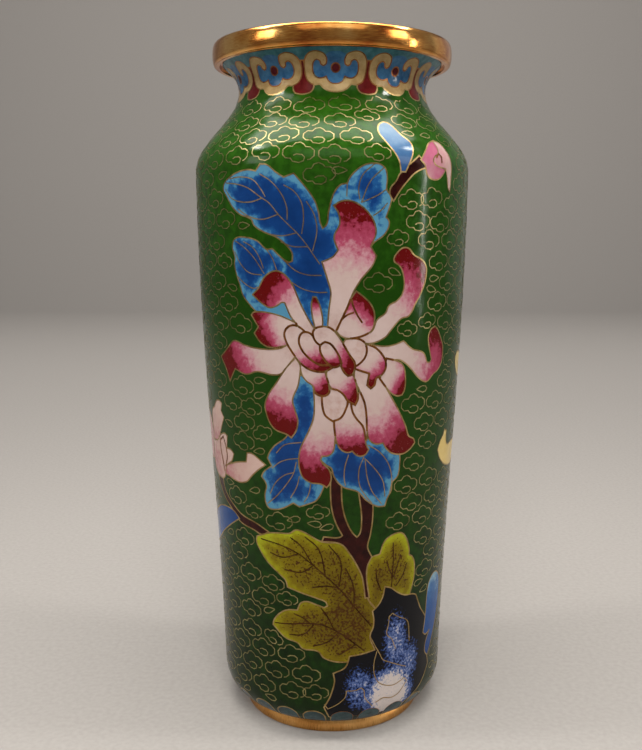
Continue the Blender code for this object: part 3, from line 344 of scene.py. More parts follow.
# Motif drawing: the enameller's outlines of the flower, leaves, stems, rock and bud, lower cells first.
# They lie on the unrolled body: x runs round it from the front at a radius of 38 mm, z is the height.
# Each cell has its finish and its root, from which its colours run out to its tip.
SHEET_RADIUS = 38.0
MOTIF = [
    ("upper_blue_leaf", "blue", (-3, 136), [(-2.3, 147.4), (-2.9, 149), (-3.3, 151.5), (-4.2, 154.4),
     (-5.8, 157), (-7.6, 159.3), (-9.4, 161.4), (-12, 160.5), (-14, 161.8), (-16.6, 163.8), (-18.4, 164),
     (-19.7, 162.3), (-22, 162.7), (-25, 162.3), (-28, 161.2), (-30.6, 159.4), (-31, 157.9), (-29.6, 155.9),
     (-27.4, 153), (-25, 151.2), (-21.2, 149.7), (-20.6, 148.4), (-18, 146.7), (-14, 145.1), (-11.6, 143.2),
     (-10, 141), (-10, 139), (-10.9, 138.6), (-12.4, 139.5), (-15.4, 142.2), (-16.8, 142), (-19.6, 144.2),
     (-23, 145.1), (-26, 145.1), (-27.5, 144.3), (-28, 142.4), (-27.2, 139.6), (-27.5, 138), (-26.9, 135.4),
     (-25.6, 132), (-24.9, 129.8), (-22.4, 127), (-20.2, 125.2), (-16, 123.6), (-11, 121.6), (-6, 119.6),
     (-1, 120.6), (0.5, 131), (3, 137), (9, 140), (10.1, 143.3), (13.2, 145.8), (14.4, 148), (14.4, 149.4),
     (13.6, 150.3), (14.6, 153.2), (15, 155.4), (13.7, 157.3), (13.8, 160), (13.3, 162.6), (12, 163.7),
     (9.6, 163.9), (7.4, 163.2), (4.4, 160.4), (3.7, 158.8), (2.2, 158.5), (0.6, 156.6), (-0.3, 154),
     (-0.9, 151), (-1.3, 148.4)]),
    ("left_green_leaf", "leaf", (11, 36), [(-10.6, 64.8), (-12.6, 63.6), (-16, 63.3), (-19.5, 62.8),
     (-24, 61.1), (-24.4, 59.8), (-22.2, 56), (-20.6, 54.2), (-16.4, 51), (-14.4, 49.4), (-13.8, 47.4),
     (-8, 45.8), (-4.4, 44.8), (-1.8, 43.7), (-1.4, 42.7), (-2.4, 42.1), (-5, 43), (-7.8, 43.7),
     (-9.6, 43.1), (-10.8, 40.8), (-13.4, 40.6), (-15.6, 39.8), (-19, 36.4), (-19.3, 35.1), (-15, 31.8),
     (-10.6, 30.6), (-9.6, 29.4), (-4.2, 28.6), (-2.6, 26.8), (5.4, 25.4), (12, 27), (16, 30), (16, 40),
     (13.6, 41), (11, 44.4), (10, 52), (3, 61.5), (-3, 61.8), (-8, 64.2)]),
    ("right_green_leaf", "leaf", (18, 42), [(11, 44.4), (13.6, 41), (18, 41), (26.2, 42), (27.4, 45.6),
     (28, 48), (27.6, 52.8), (26.6, 54.4), (25.3, 55.2), (25.2, 57), (23, 61.6), (21.4, 62.6), (17.6, 62),
     (16, 60.8), (14.6, 57.2), (11.6, 56.4), (9.6, 54), (9.6, 50)]),
    ("main_stem", "bark", (10.6, 46), [(-0.4, 82), (-0.4, 75), (0, 71), (1.2, 67), (3, 63.6), (2.6, 63.2),
     (-2.4, 63.2), (-3, 61.7), (0, 61.7), (3, 60.8), (5, 58.4), (7.4, 54.6), (9.1, 51), (9.8, 47.5),
     (10.2, 44.5), (11.5, 44.5), (10.9, 47.8), (10.5, 51), (10.7, 54), (12, 56.7), (10.6, 59.8), (11.3, 63),
     (11.9, 67.5), (11.9, 75), (7.2, 78), (8.2, 72), (8.6, 68), (8.1, 63.8), (7.3, 62.9), (6, 64.2),
     (4.2, 67.6), (3, 72), (2.6, 80)]),
    ("lower_left_blue_leaf", "blue", (-6, 92), [(-12.6, 91.6), (-16.6, 88.4), (-18.2, 86.4), (-18.9, 84.8),
     (-17.6, 82.7), (-20.4, 80.6), (-21.2, 79.2), (-19.6, 77), (-20.3, 74), (-20, 71.4), (-19, 70.2),
     (-17, 70.1), (-14.4, 70.8), (-11.2, 72.6), (-9.4, 71.6), (-6.8, 72.6), (-4.6, 73.6), (-3, 76),
     (-2, 80), (-6, 88), (-3, 97), (-3, 105), (-7, 109), (-9.4, 108), (-12, 101), (-11, 96)]),
    ("lower_right_blue_leaf", "blue", (6, 90), [(-3.2, 85.4), (-1.6, 83.9), (-0.2, 83), (0.4, 81),
     (1.6, 79), (3.4, 77.5), (5.2, 76.9), (7.2, 76.2), (10, 73.4), (13.4, 71.4), (15.6, 71.3), (16.6, 74),
     (17.6, 75.6), (17.7, 77.8), (19.4, 79.4), (20, 82.5), (19.4, 87), (14, 91), (8, 91), (1, 90),
     (-1.6, 88)]),
    ("side_branch", "bark", (-21, 62.6), [(-44, 76), (-42, 72.6), (-39, 69.4), (-35, 66.9), (-31, 64),
     (-25, 62.7), (-22.2, 61.9), (-19.5, 63.1), (-24, 64.9), (-30.5, 66.5), (-34, 68.4), (-37, 70.3),
     (-39, 72.6), (-40, 77)]),
    ("side_blue_leaf", "pale_leaf", (-33, 65.6), [(-31.4, 64.8), (-34, 66.4), (-37, 66.9), (-42, 66.4),
     (-47, 64.6), (-54, 60.6), (-58, 56.4), (-59, 52), (-54, 52), (-48, 54.6), (-42, 58.6), (-37, 61.6)]),
    ("rock", "rock", (22, 12), [(16.7, 47.1), (18.8, 46.4), (21, 44.8), (24, 43.2), (29.2, 42), (30.4, 40),
     (32, 37.2), (35.4, 33.2), (38, 28), (37, 24), (38.6, 17.2), (36, 14), (33, 11.6), (24, 7.6), (12, 7.6),
     (3, 7.6), (-1, 7.6), (-2.6, 11.4), (-0.8, 14.4), (0.2, 17), (0.8, 19.6), (0.4, 22), (4.2, 23.8),
     (5.6, 27.1), (9, 27.4), (13.8, 28.2), (12.1, 32.6), (13.1, 35.4), (13.2, 37.8), (12.7, 40.2),
     (14.6, 41.8), (15.9, 43.8)]),
    ("rock_blue_leaf", "pale_leaf", (37.6, 22), [(35.5, 40), (36, 43), (38, 45.4), (40.5, 46), (43.5, 44.6),
     (45.4, 42), (45.8, 38), (45, 34), (44, 30.5), (42, 26.5), (40, 23), (38, 20), (36, 22), (36.2, 24.6),
     (38.6, 28), (36, 27.4), (34.4, 28.4), (35.2, 33.2)]),
    ("bud_twig", "bark", (15, 156), [(14.6, 157.6), (16.2, 159.6), (17.2, 161.4), (18.4, 162.6),
     (23.2, 166.4), (26, 163.6), (22, 162), (19.6, 159.8), (17.4, 157.2), (15.6, 154.4), (14.6, 156)]),
    ("bud_leaf", "bud_leaf", (18.4, 162.6), [(12.8, 172.2), (13.2, 173.8), (14.4, 174.8), (16, 175.1),
     (17.2, 174.6), (19.4, 171.8), (21.6, 169.6), (21.6, 167.8), (20, 164.2), (18.9, 162), (17.5, 162),
     (17.3, 163.8), (16.6, 165.8), (13.8, 170.2)]),
    ("bud_petal", "bud", (27, 162), [(23.6, 165.3), (25.6, 167.6), (28, 169.9), (31, 171), (33, 168),
     (33, 163.4), (31.6, 161.6), (29.8, 160.5), (27.8, 160.4), (26, 161.2), (24.9, 164.1)]),
    ("bud_hook", "hook", (30, 165.6), [(30.4, 170.8), (33, 170.4), (35, 168), (35.9, 164.4), (35.7, 160.6),
     (35.3, 157.4), (34.5, 158.2), (33.9, 160.8), (33.1, 163.4), (30.4, 163.8), (28.6, 164.4), (28, 165.4),
     (28.8, 166.5), (30, 167), (30.9, 168.4)]),
    ("side_petal_back", "blush", (-45, 84), [(-48, 92.6), (-52, 94), (-58, 93.4), (-64, 91), (-67, 87),
     (-65, 83), (-60, 80), (-52, 79.2), (-46, 80), (-44, 84), (-46, 89)]),
    ("side_petal_top", "blush", (-42.6, 86), [(-46, 93), (-45.2, 95), (-43, 96.2), (-41, 98.2),
     (-38.5, 98.7), (-37.2, 98), (-38, 95.8), (-36.4, 94), (-38.6, 90.4), (-41.6, 85), (-45, 86),
     (-46, 89.6)]),
    ("side_petal_long", "blush", (-38, 77.6), [(-38.4, 79.4), (-34, 80.8), (-31, 81.8), (-26.8, 82.6),
     (-26.2, 85.3), (-24.6, 85.4), (-22, 84.2), (-19.6, 82.7), (-21.6, 81.4), (-24.6, 79), (-27, 76.8),
     (-30, 76), (-36, 76.8), (-39, 77)]),
    ("side_flower_heart", "blush", (-45, 79), [(-47, 80), (-46, 77), (-42, 75.2), (-38.8, 75.6),
     (-37.6, 77.4), (-37, 79.3), (-33.4, 81.8), (-32.2, 84), (-33.6, 85), (-35.8, 85.1), (-35.2, 88.8),
     (-36.4, 89.3), (-39.6, 88.3), (-42, 86.4), (-46.6, 86)]),
    ("yellow_heart", "yellow", (73, 95), [(66, 88), (73, 86), (80, 88), (83, 94), (81, 101), (75, 104),
     (68, 102), (64, 96)]),
    ("yellow_petal_upper", "yellow", (69, 101), [(45.2, 110.6), (45.6, 108.6), (48, 105.6), (52, 104.2),
     (58, 104), (64, 102), (68, 99), (72, 102), (68, 107.6), (62, 110.4), (52, 111.4), (47, 112)]),
    ("yellow_petal_lower", "yellow", (68, 90), [(36.2, 84.4), (37.6, 87), (39.2, 88.4), (40, 90),
     (41.6, 89.4), (42, 86), (43.4, 84.8), (47, 85.2), (53, 85), (60, 87), (66, 92), (71, 90), (66, 83),
     (60, 79.4), (52, 78), (46, 78), (41, 79.4), (38, 81.6)]),
    ("petal_tail", "petal", (-2.6, 105), [(-5, 106), (-4.7, 101), (-5, 97), (-6.1, 93.9), (-7.4, 91.2),
     (-8.7, 88.4), (-9.3, 85.4), (-9.1, 82.4), (-8.2, 80.2), (-6, 78.8), (-3, 78.4), (-1.5, 77.5),
     (-0.6, 78.6), (-0.2, 80.4), (-0.8, 82.6), (-2.4, 84.2), (-3.2, 85.4), (-2.8, 86.4), (-1.2, 86.5),
     (0.2, 87.6), (0.8, 91), (0.8, 98), (-1, 105)]),
    ("petal_lower_sliver", "cream", (6.4, 103.4), [(4.4, 103.6), (7.6, 104), (9, 101), (9.6, 96),
     (9.6, 90.6), (8.6, 90.6), (7, 95), (5, 98.6)]),
    ("petal_lower_right", "petal", (8.4, 110), [(6, 110.6), (5.9, 108.2), (7.4, 104.4), (8.8, 101),
     (9.4, 97), (9.7, 92.8), (10.4, 90.6), (12.2, 89.4), (14.4, 89.5), (15.4, 87.9), (17.2, 86.4),
     (21.2, 85.8), (23.4, 86.8), (25.1, 88.4), (24.6, 89.6), (22.8, 90.6), (21.6, 93.4), (19.8, 96.8),
     (15, 104.6), (12.7, 108.4)]),
    ("petal_lower_middle", "petal", (3.4, 101.6), [(0.8, 98), (0.9, 92), (1.4, 90), (2.4, 88.3),
     (4.2, 87.4), (5.6, 87.7), (6.6, 86.7), (8, 86.2), (9.4, 86.7), (10.2, 88), (9.4, 89.6), (9.1, 92),
     (8.4, 94.6), (6.6, 96.8), (5.5, 98.8), (5, 102), (3, 102)]),
    ("petal_tongue", "cream", (0.6, 105), [(-2.7, 104), (-2.5, 100), (-1.8, 97.8), (0.2, 96.2), (2.2, 97),
     (3.4, 98.8), (4.2, 102.4), (2, 106)]),
    ("petal_lower_left", "petal", (-9.4, 113), [(-9.6, 113.4), (-8.4, 111.4), (-8.5, 109), (-9, 106),
     (-10.7, 101.6), (-10.1, 99.2), (-9.3, 96), (-10, 93), (-11.3, 91.2), (-12.2, 91.9), (-16, 93.2),
     (-17.6, 94.9), (-18.6, 97.4), (-19, 99.6), (-18.4, 101.6), (-15, 106.6), (-12, 110.8)]),
    ("petal_left_long", "petal", (-11, 115.6), [(-35.6, 111.9), (-33, 113.8), (-30.6, 115.9),
     (-29.2, 116.9), (-27.4, 116.8), (-25, 116), (-17, 115.3), (-13.4, 115.9), (-11, 117.4), (-9.4, 114),
     (-12.8, 109.9), (-13.8, 108.8), (-16, 108.4), (-21, 109), (-25, 107.9), (-29.2, 109), (-31.8, 105.2),
     (-33.2, 108.5)]),
    ("petal_left_notched", "petal", (-9.4, 120.6), [(-22.2, 124.4), (-21.6, 125.1), (-20, 125.4),
     (-16, 125.1), (-12.6, 124.2), (-9, 122.6), (-9, 119), (-11.6, 116.9), (-13.4, 116.3), (-15.8, 115.9),
     (-17.8, 116.1), (-19.8, 117.3), (-21.5, 119.5), (-20.1, 121.3)]),
    ("petal_upper_left", "petal", (-5, 120.6), [(-21.6, 129.9), (-19.6, 131.8), (-18, 134.4),
     (-16.2, 135.9), (-14.2, 136.4), (-12.3, 135.6), (-10.4, 133.4), (-8, 127.8), (-5.2, 122.3),
     (-4.4, 121), (-5, 119), (-7.6, 120.4), (-9, 122.3), (-10.6, 124.3), (-12.2, 128), (-13, 128.1),
     (-14.4, 127.2), (-16.5, 126.6), (-18.6, 127.6)]),
    ("petal_upper_sliver", "petal", (-3.2, 121.2), [(-4.8, 129.7), (-4, 129.6), (-3.2, 127.8), (-2.4, 124),
     (-2.4, 121.4), (-4.2, 121), (-5, 124.6), (-5.2, 127.8)]),
    ("petal_upper_right", "long_petal", (6, 118.8), [(3.4, 119), (6, 119.2), (8.5, 119.8), (10.3, 120.4),
     (11.8, 123.6), (14, 125.3), (15, 127.3), (17, 128.3), (18.6, 130), (19.2, 132.4), (18.4, 136.6),
     (17.3, 138), (16.2, 138.7), (16, 139.6), (17, 141.2), (18.6, 142.4), (20.2, 142.3), (22, 140.5),
     (25, 139), (26.3, 137.4), (26.5, 135.6), (25.9, 132.6), (23, 127.4), (20.8, 124.1), (18.9, 123.7),
     (15.6, 120.5), (14.3, 118.9), (9.4, 117.2), (7.4, 118)]),
    ("petal_cup", "petal", (3.4, 119.6), [(6.1, 131.2), (8, 129.7), (9.8, 127.9), (10.9, 125.6),
     (11, 123.4), (10.6, 121.2), (9.6, 120.1), (3.6, 118.8), (1.6, 120), (1, 121), (2.6, 126),
     (5.2, 129.9)]),
    ("petal_right_hook", "long_petal", (10.6, 116.2), [(9.2, 117.1), (14.5, 116.3), (17.5, 116.8),
     (19.6, 117.5), (22.4, 115.2), (26.8, 113.6), (28.3, 110.9), (29.4, 110.8), (30, 111.6), (28.6, 116),
     (28.3, 118), (29.2, 120), (30.8, 120.8), (31.7, 120.3), (34, 117.2), (35.2, 115), (35.4, 112.4),
     (34.8, 109.9), (33.2, 108.2), (31.4, 107.4), (28.6, 105.5), (26.6, 106), (20.6, 111.2), (18.4, 112.4),
     (14, 112), (11, 116)]),
    ("petal_right_short", "petal", (13.6, 109), [(14.6, 113), (17.5, 112.2), (19.6, 111), (20.7, 107.2),
     (20.5, 103.8), (19.8, 102.6), (18.4, 102.4), (16.6, 103.2), (12.8, 107.6), (14, 110)]),
    ("petal_right_spur", "petal", (8.6, 115.4), [(9, 117), (11, 116.3), (12.9, 114.7), (14.3, 112.5),
     (14.5, 110.4), (13.4, 108.6), (11.9, 107.7), (11.4, 105.8), (10.4, 105), (9.4, 105.9), (9.9, 109.1),
     (5.6, 110.6), (7.6, 113)]),
    ("petal_crown", "long_petal", (0, 121.4), [(0.4, 153.2), (2.2, 154.3), (4.2, 154.5), (6.8, 153.4),
     (9.2, 151.2), (10.6, 148.8), (11, 146.2), (9.7, 142.8), (11.2, 140.3), (10.2, 137.8), (7.6, 134.6),
     (5.6, 131.4), (3.9, 127), (1, 120.6), (-1.2, 121), (-0.8, 126), (-0.3, 131), (-1, 133.8),
     (-2.5, 138.8), (0.2, 140.1), (1.5, 141.8), (0.5, 145.2), (1.9, 148.7), (1.6, 151.2)]),
    ("petal_knob_left", "petal", (-6.6, 111), [(-8.4, 112), (-8, 109), (-6.8, 107.2), (-5, 105.8),
     (-4.6, 104.2), (-3.4, 103.3), (-1.8, 103.2), (-0.8, 104), (-0.7, 105.4), (-1.5, 108.6), (-2.2, 110.2),
     (-6, 111.6)]),
    ("petal_knob_right", "petal", (0.4, 110.4), [(-1.4, 109.4), (-0.4, 111.4), (3, 111.4), (5.6, 108.6),
     (6.8, 104.2), (6.9, 102.2), (6.2, 100.6), (4.2, 101.8), (3, 103.6), (1.4, 104.8), (0, 105.2),
     (-0.8, 106.4)]),
    ("heart_right", "cream", (4, 117.8), [(3.5, 118.5), (6.6, 118.6), (8.4, 117.6), (9.1, 115.8),
     (8.7, 113.6), (7.4, 112), (5.6, 110.8), (4, 114), (2.6, 117)]),
    ("heart_outer_curl", "petal", (-11, 120.6), [(-9.7, 122.1), (-11.5, 121.6), (-12.5, 120), (-12.2, 118),
     (-10.8, 115.4), (-8.8, 112.6), (-6.8, 110.8), (-4.6, 109.9), (-2, 109.8), (0.6, 111.2), (-2, 113),
     (-6, 116), (-7, 120.4)]),
    ("heart_left", "petal", (-7.2, 119.6), [(-8.6, 117.6), (-8.3, 119.4), (-7.4, 120.3), (-6.2, 120.3),
     (-5.2, 119.7), (-3.4, 117.6), (-2, 115), (0.2, 111.6), (-3.4, 111.7), (-5.4, 112.9), (-7.6, 115.2)]),
    ("heart_crest", "petal", (-3, 120.6), [(-4.4, 118.2), (-4.9, 120.4), (-4.2, 121.4), (-2.4, 121.9),
     (-0.4, 121.5), (1.4, 119.6), (4.6, 114.2), (6, 112), (5.9, 110.2), (5.2, 108.9), (4.2, 108.6),
     (3.2, 109.6), (2, 112), (0, 115), (-1.6, 116.6), (-3.2, 117)]),
    ("heart_inner", "petal", (-1.4, 117), [(-2.9, 117), (-1.8, 117.8), (-0.4, 117.3), (0.8, 115.8),
     (1.8, 114), (2.5, 112), (1.6, 111.2), (0.2, 111), (-1, 111.9), (-2.4, 113.8), (-3.1, 115.6)]),
]

def drawn_line(points, closed, spacing=0.55, corner=50):
    """A smooth line through given points, which keeps its sharp corners."""
    points = [Vector(point) for point in points]
    count = len(points)
    line = []
    for index in range(count if closed else count - 1):
        start, end = points[index], points[(index + 1) % count]
        length = (end - start).length
        ways = []
        for here in (index, (index + 1) % count):
            before = points[here] - points[here - 1]
            after = points[(here + 1) % count] - points[here]
            if (closed or 0 < here < count - 1) and before.angle(after, 0.0) < math.radians(corner):
                ways.append((before.normalized() + after.normalized()).normalized() * length)
            else:
                ways.append(end - start)
        steps = max(1, round(length / spacing))
        for step in range(steps):
            share = step / steps
            square, cube = share ** 2, share ** 3
            line.append(start * (2 * cube - 3 * square + 1) + ways[0] * (cube - 2 * square + share)
                        + end * (3 * square - 2 * cube) + ways[1] * (cube - square))
    return line if closed else line + [points[-1]]


# Collar drawing: ruyi heads in a ring, each a cream scroll round a blue field with a red dot, and
# maroon pendants in the gaps between them; the strip above is teal.  Sizes as on the motif drawing.
RUYI_HEADS, RUYI_START = 10, 1.3
RUYI_PITCH = math.tau * SHEET_RADIUS / RUYI_HEADS
DOT_LEVEL, DOT_WIDE, DOT_TALL = 189.5, 1.6, 1.15


def mirrored(points):
    """A half outline that ends on x = 0, completed by its mirror image."""
    return points + [(-x, z) for x, z in reversed(points) if x != 0]


ruyi_outer = mirrored([
    (-5.5, 191.1), (-5.3, 190.4), (-4.4, 190.0), (-3.4, 190.4), (-3.1, 191.4), (-3.7, 192.5),
    (-5.2, 193.1), (-7.2, 193.3), (-9.6, 192.7), (-11.1, 191.2), (-11.4, 189.5), (-11.1, 187.6),
    (-10.0, 186.1), (-7.8, 185.3), (-5.6, 185.3), (-4.6, 184.5), (-2.6, 183.6), (0.0, 183.3)])
ruyi_inner = mirrored([
    (-5.5, 191.1), (-6.6, 191.5), (-7.9, 190.9), (-8.4, 189.4), (-8.0, 188.0), (-6.6, 187.1),
    (-5.0, 187.0), (-3.4, 187.4), (-2.8, 186.4), (-1.6, 185.7), (0.0, 185.5)])
ruyi_field = ruyi_inner + [(4.4, 190.6), (3.2, 192.6), (0.0, 193.2), (-3.2, 192.6), (-4.4, 190.6)]
ruyi_dot = [(DOT_WIDE * math.cos(turn), DOT_LEVEL + DOT_TALL * math.sin(turn))
            for turn in (math.tau * step / 12 for step in range(12))]
pendant = mirrored([(-0.5, 191.4), (-0.9, 189.4), (-2.2, 187.4), (-3.7, 186.0), (-4.0, 184.7),
                    (-3.1, 183.4), (-1.3, 182.9), (0.0, 182.8)])
COLLAR = []
for head in range(-6, 6):
    for name, outline, shift in [("ruyi_pendant", pendant, 0.5), ("ruyi_field", ruyi_field, 0.0),
                                 ("ruyi_scroll", ruyi_outer + ruyi_inner[-2:0:-1], 0.0),
                                 ("ruyi_dot", ruyi_dot, 0.0)]:
        middle = RUYI_START + RUYI_PITCH * (head + shift)
        COLLAR.append((name, [(middle + x, z) for x, z in outline]))

# Foot drawing: a row of grey-blue lobes that rise from the foot ring's seat, with ground between them.
# They are drawn on the same sheet as the motif, and a few more than go round it lap over its ends.
LOBES, LOBE_START = 25, 3.4
LOBE_PITCH = math.tau * SHEET_RADIUS / LOBES
LOBE_HALF, LOBE_LOW, LOBE_SPRING, LOBE_RISE = 3.9, 5.0, 6.9, 2.9
lobe = [(LOBE_HALF * math.cos(turn), LOBE_SPRING + LOBE_RISE * math.sin(turn) ** 0.9)
        for turn in (math.pi * step / 10 for step in range(11))]
lobe = [(LOBE_HALF, LOBE_LOW)] + lobe + [(-LOBE_HALF, LOBE_LOW)]
FOOT = [[(LOBE_START + LOBE_PITCH * number + x, z) for x, z in lobe] for number in range(-15, 13)]

# Partition of the enamel: the drawings are laid over each other on the sheet, and each patch goes to
# the topmost cell there.  The body is cut open down the back, between two ruyi heads.
FULL_TURN = math.tau * SHEET_RADIUS
SEAM = RUYI_START - RUYI_PITCH * 5.5
SEAM_END = SEAM + FULL_TURN
COLUMNS, LINE_ROOM = 96, 0.7


def strip_round(low, high):
    """A strip of the sheet that passes all round the body, and laps over the sheet's ends."""
    ways = [SEAM - 20 + (FULL_TURN + 40) * step / 230 for step in range(231)]
    return [Vector((x, low)) for x in ways] + [Vector((x, high)) for x in reversed(ways)]


def near_tree(places):
    """A tree that finds the nearest of some points of the sheet."""
    nearest = kdtree.KDTree(len(places))
    for index, spot in enumerate(places):
        nearest.insert((spot.x, spot.y, 0.0), index)
    nearest.balance()
    return nearest


def edge_key(a, b):
    """An edge's two corners in rising order."""
    return (min(a, b), max(a, b))


def edges_of(patch):
    """The edges of a patch, each with its corners in rising order."""
    return [edge_key(a, b) for a, b in zip(patch, patch[1:] + patch[:1])]


collar_lines = [(name, drawn_line(outline, True, 0.6)) for name, outline in COLLAR]
motif_lines = [(name, drawn_line(outline, True)) for name, finish, root, outline in MOTIF]
foot_lines = [("foot_scallop", drawn_line(outline, True, 0.6)) for outline in FOOT]
layers = [("collar_strip", strip_round(188.2, 197.0))] + motif_lines
layers += [("foot_scallop", strip_round(2.0, 5.2))] + foot_lines + collar_lines
spots, faces = [], []
for name, line in layers:
    area = sum(a.x * b.y - b.x * a.y for a, b in zip(line, line[1:] + line[:1]))
    faces.append(list(range(len(spots), len(spots) + len(line))))
    spots.extend(line if area > 0 else line[::-1])
near_line = near_tree(spots)
levels = wall_levels(7, 50)
seam_sides = {SEAM: [], SEAM_END: []}
for row, level in enumerate(levels):
    for side, column in seam_sides.items():
        column.append(len(spots))
        spots.append(Vector((side, level)))
    ends = row in (0, len(levels) - 1)
    stagger = 0.5 if row % 2 and not ends else 0.0
    for column in range(1, COLUMNS):
        spot = Vector((SEAM + FULL_TURN * (column + stagger) / COLUMNS, level))
        if ends or (spot.x < SEAM_END - 1 and near_line.find((spot.x, spot.y, 0.0))[2] > LINE_ROOM):
            spots.append(spot)
seam_edges = [pair for column in seam_sides.values() for pair in zip(column, column[1:])]
partition = delaunay_2d_cdt(spots, seam_edges, faces, 0, 1e-4)
flat = partition[0]
kept, owner = [], []
for patch, sources in zip(partition[2], partition[5]):
    middle = (flat[patch[0]] + flat[patch[1]] + flat[patch[2]]) / 3
    if SEAM < middle.x < SEAM_END and FOOT_TOP < middle.y < COLLAR_TOP:
        kept.append(patch)
        owner.append(layers[max(sources)][0] if sources else "green_ground")

# Green ground: transparent green enamel over the whole body, between the borders and round the motif.
# It is cloudy, darker low and lighter on the shoulder: partly its own tone, partly painted shade and painted
# light.
COAT = 0.7
DARK_LEVEL, DARK_TO_LIGHT = 20.0, 150.0


def wrapped(spot, lift=0.0):
    """A point of the sheet, wrapped on the body at a height above the enamel's face."""
    turn = spot[0] / SHEET_RADIUS
    radius = vase_radius(spot[1]) + lift
    return (radius * math.sin(turn) * MM, -radius * math.cos(turn) * MM, spot[1] * MM)


def place_piece(name, mesh):
    """Put a mesh into the scene as the active, selected piece."""
    piece = bpy.data.objects.new(name, mesh)
    bpy.context.collection.objects.link(piece)
    bpy.context.view_layer.objects.active = piece
    piece.select_set(True)
    return piece


def ways_from(root, numbers, sides):
    """How far each corner of a cell lies from its root through the cell, as a share of the farthest."""
    links = {number: [] for number in numbers}
    for a, b in sides:
        length = (flat[a] - flat[b]).length
        links[a].append((b, length))
        links[b].append((a, length))
    source = min(numbers, key=lambda number: (flat[number] - Vector(root)).length)
    far = {source: 0.0}
    queue = [(0.0, source)]
    while queue:
        length, number = heapq.heappop(queue)
        for other, step in links[number]:
            if length + step < far.get(other, math.inf):
                far[other] = length + step
                heapq.heappush(queue, (length + step, other))
    reached = max(far.values())
    return [far.get(number, reached) / reached for number in numbers]


def lay_enamel(name, cell, finish, node_names, slot, root=None, reach=3.0, ways=None):
    """Fill a cell of the partition with enamel: wrap it on the body and give it thickness.

    The attribute along runs from the root (0) to the farthest tip (1), or follows ways; inset rises
    from 0 at the cell's wire to 1 at the reach, in millimetres.
    """
    mine = [patch for patch, holder in zip(kept, owner) if holder == cell]
    numbers = sorted({corner for patch in mine for corner in patch})
    order = {number: index for index, number in enumerate(numbers)}
    sides = {}
    for side in (side for patch in mine for side in edges_of(patch)):
        sides[side] = sides.get(side, 0) + 1
    rim = {corner for side, uses in sides.items() if uses == 1 for corner in side}
    shore = near_tree([flat[corner] for corner in rim])
    inset = [min(1.0, shore.find((*flat[number], 0.0))[2] / reach) for number in numbers]
    along = [0.0] * len(numbers)
    if ways:
        along = [ways(flat[number]) for number in numbers]
    elif root:
        along = ways_from(root, numbers, sides)
    mesh = bpy.data.meshes.new(name)
    mesh.from_pydata([wrapped(flat[number]) for number in numbers], [],
                     [[order[corner] for corner in patch] for patch in mine])
    for attribute, values in (("along", along), ("inset", inset)):
        mesh.attributes.new(attribute, "FLOAT", "POINT").data.foreach_set("value", values)
    piece = place_piece(name, mesh)
    bpy.ops.object.mode_set(mode="EDIT")
    bpy.ops.mesh.select_all(action="SELECT")
    bpy.ops.mesh.remove_doubles(threshold=2e-7)
    bpy.ops.object.mode_set(mode="OBJECT")
    coat = piece.modifiers.new("coat", "SOLIDIFY")
    coat.thickness = COAT * MM
    coat.offset = -1.0
    bpy.ops.object.modifier_apply(modifier=coat.name)
    bpy.ops.object.shade_smooth_by_angle(angle=math.radians(40))
    piece.select_set(False)
    dress(piece, finish, slot, *node_names)


def ground_tone_and_shade(spot):
    """How light the ground is painted at a point of the sheet, 0 near the foot and 1 on the shoulder: partly
    its own tone, partly painted shade.
    """
    return min(1.0, max(0.0, (spot.y - DARK_LEVEL) / DARK_TO_LIGHT))


# The ramp runs from dark near the foot to light on the shoulder: partly the enamel's tone, partly painted
# shade and painted light.
ground_green = enamel("green_ground_enamel", [
    (0.22, (0.003, 0.012, 0.0004)), (0.34, (0.005, 0.020, 0.0006)), (0.52, (0.010, 0.045, 0.0016)),
    (0.68, (0.0095, 0.046, 0.0015)), (0.82, (0.017, 0.077, 0.003)), (0.92, (0.021, 0.090, 0.0035))],
    along=0.5, cloud=0.6, speck=(0.004, 0.020, 0.002), speck_low=0.66)
lay_enamel("green_ground", "green_ground", ground_green, ["ground_enamel", "ground_pocket_1"],
           "ground_enamel", ways=ground_tone_and_shade)

# Collar cells: opaque enamels packed into the ruyi scrolls, fields, dots and pendants, and the teal strip.
# They stop under the mouth ring.
for name, cell, start, dark, light, extra in [
        ("collar_strip_coat", "collar_strip", 0.35, (0.036, 0.115, 0.145), (0.080, 0.215, 0.260), {}),
        ("ruyi_scroll_cells", "ruyi_scroll", 0.30, (0.34, 0.22, 0.085), (0.52, 0.37, 0.17),
         {"speck": (0.18, 0.08, 0.03), "speck_low": 0.68}),
        ("ruyi_field_cells", "ruyi_field", 0.30, (0.016, 0.080, 0.205), (0.066, 0.195, 0.360), {}),
        ("ruyi_dot_cells", "ruyi_dot", 0.30, (0.050, 0.003, 0.006), (0.100, 0.006, 0.010), {}),
        ("ruyi_pendant_cells", "ruyi_pendant", 0.30, (0.080, 0.005, 0.005), (0.150, 0.012, 0.012), {})]:
    packed = enamel(name + "_enamel", [(start, dark), (0.70, light)], **extra)
    lay_enamel(name, cell, packed, ["collar_enamel"], "collar_enamel")

# Foot scallops: opaque grey-blue enamel in a row of low lobes above the foot ring.
# It is packed like the collar's cells, and polished level with the ground.
grey_blue = enamel("grey_blue_enamel", [(0.30, (0.018, 0.036, 0.040)), (0.70, (0.052, 0.095, 0.102))])
lay_enamel("foot_scallop_cells", "foot_scallop", grey_blue, ["foot_border_enamel"], "collar_enamel")

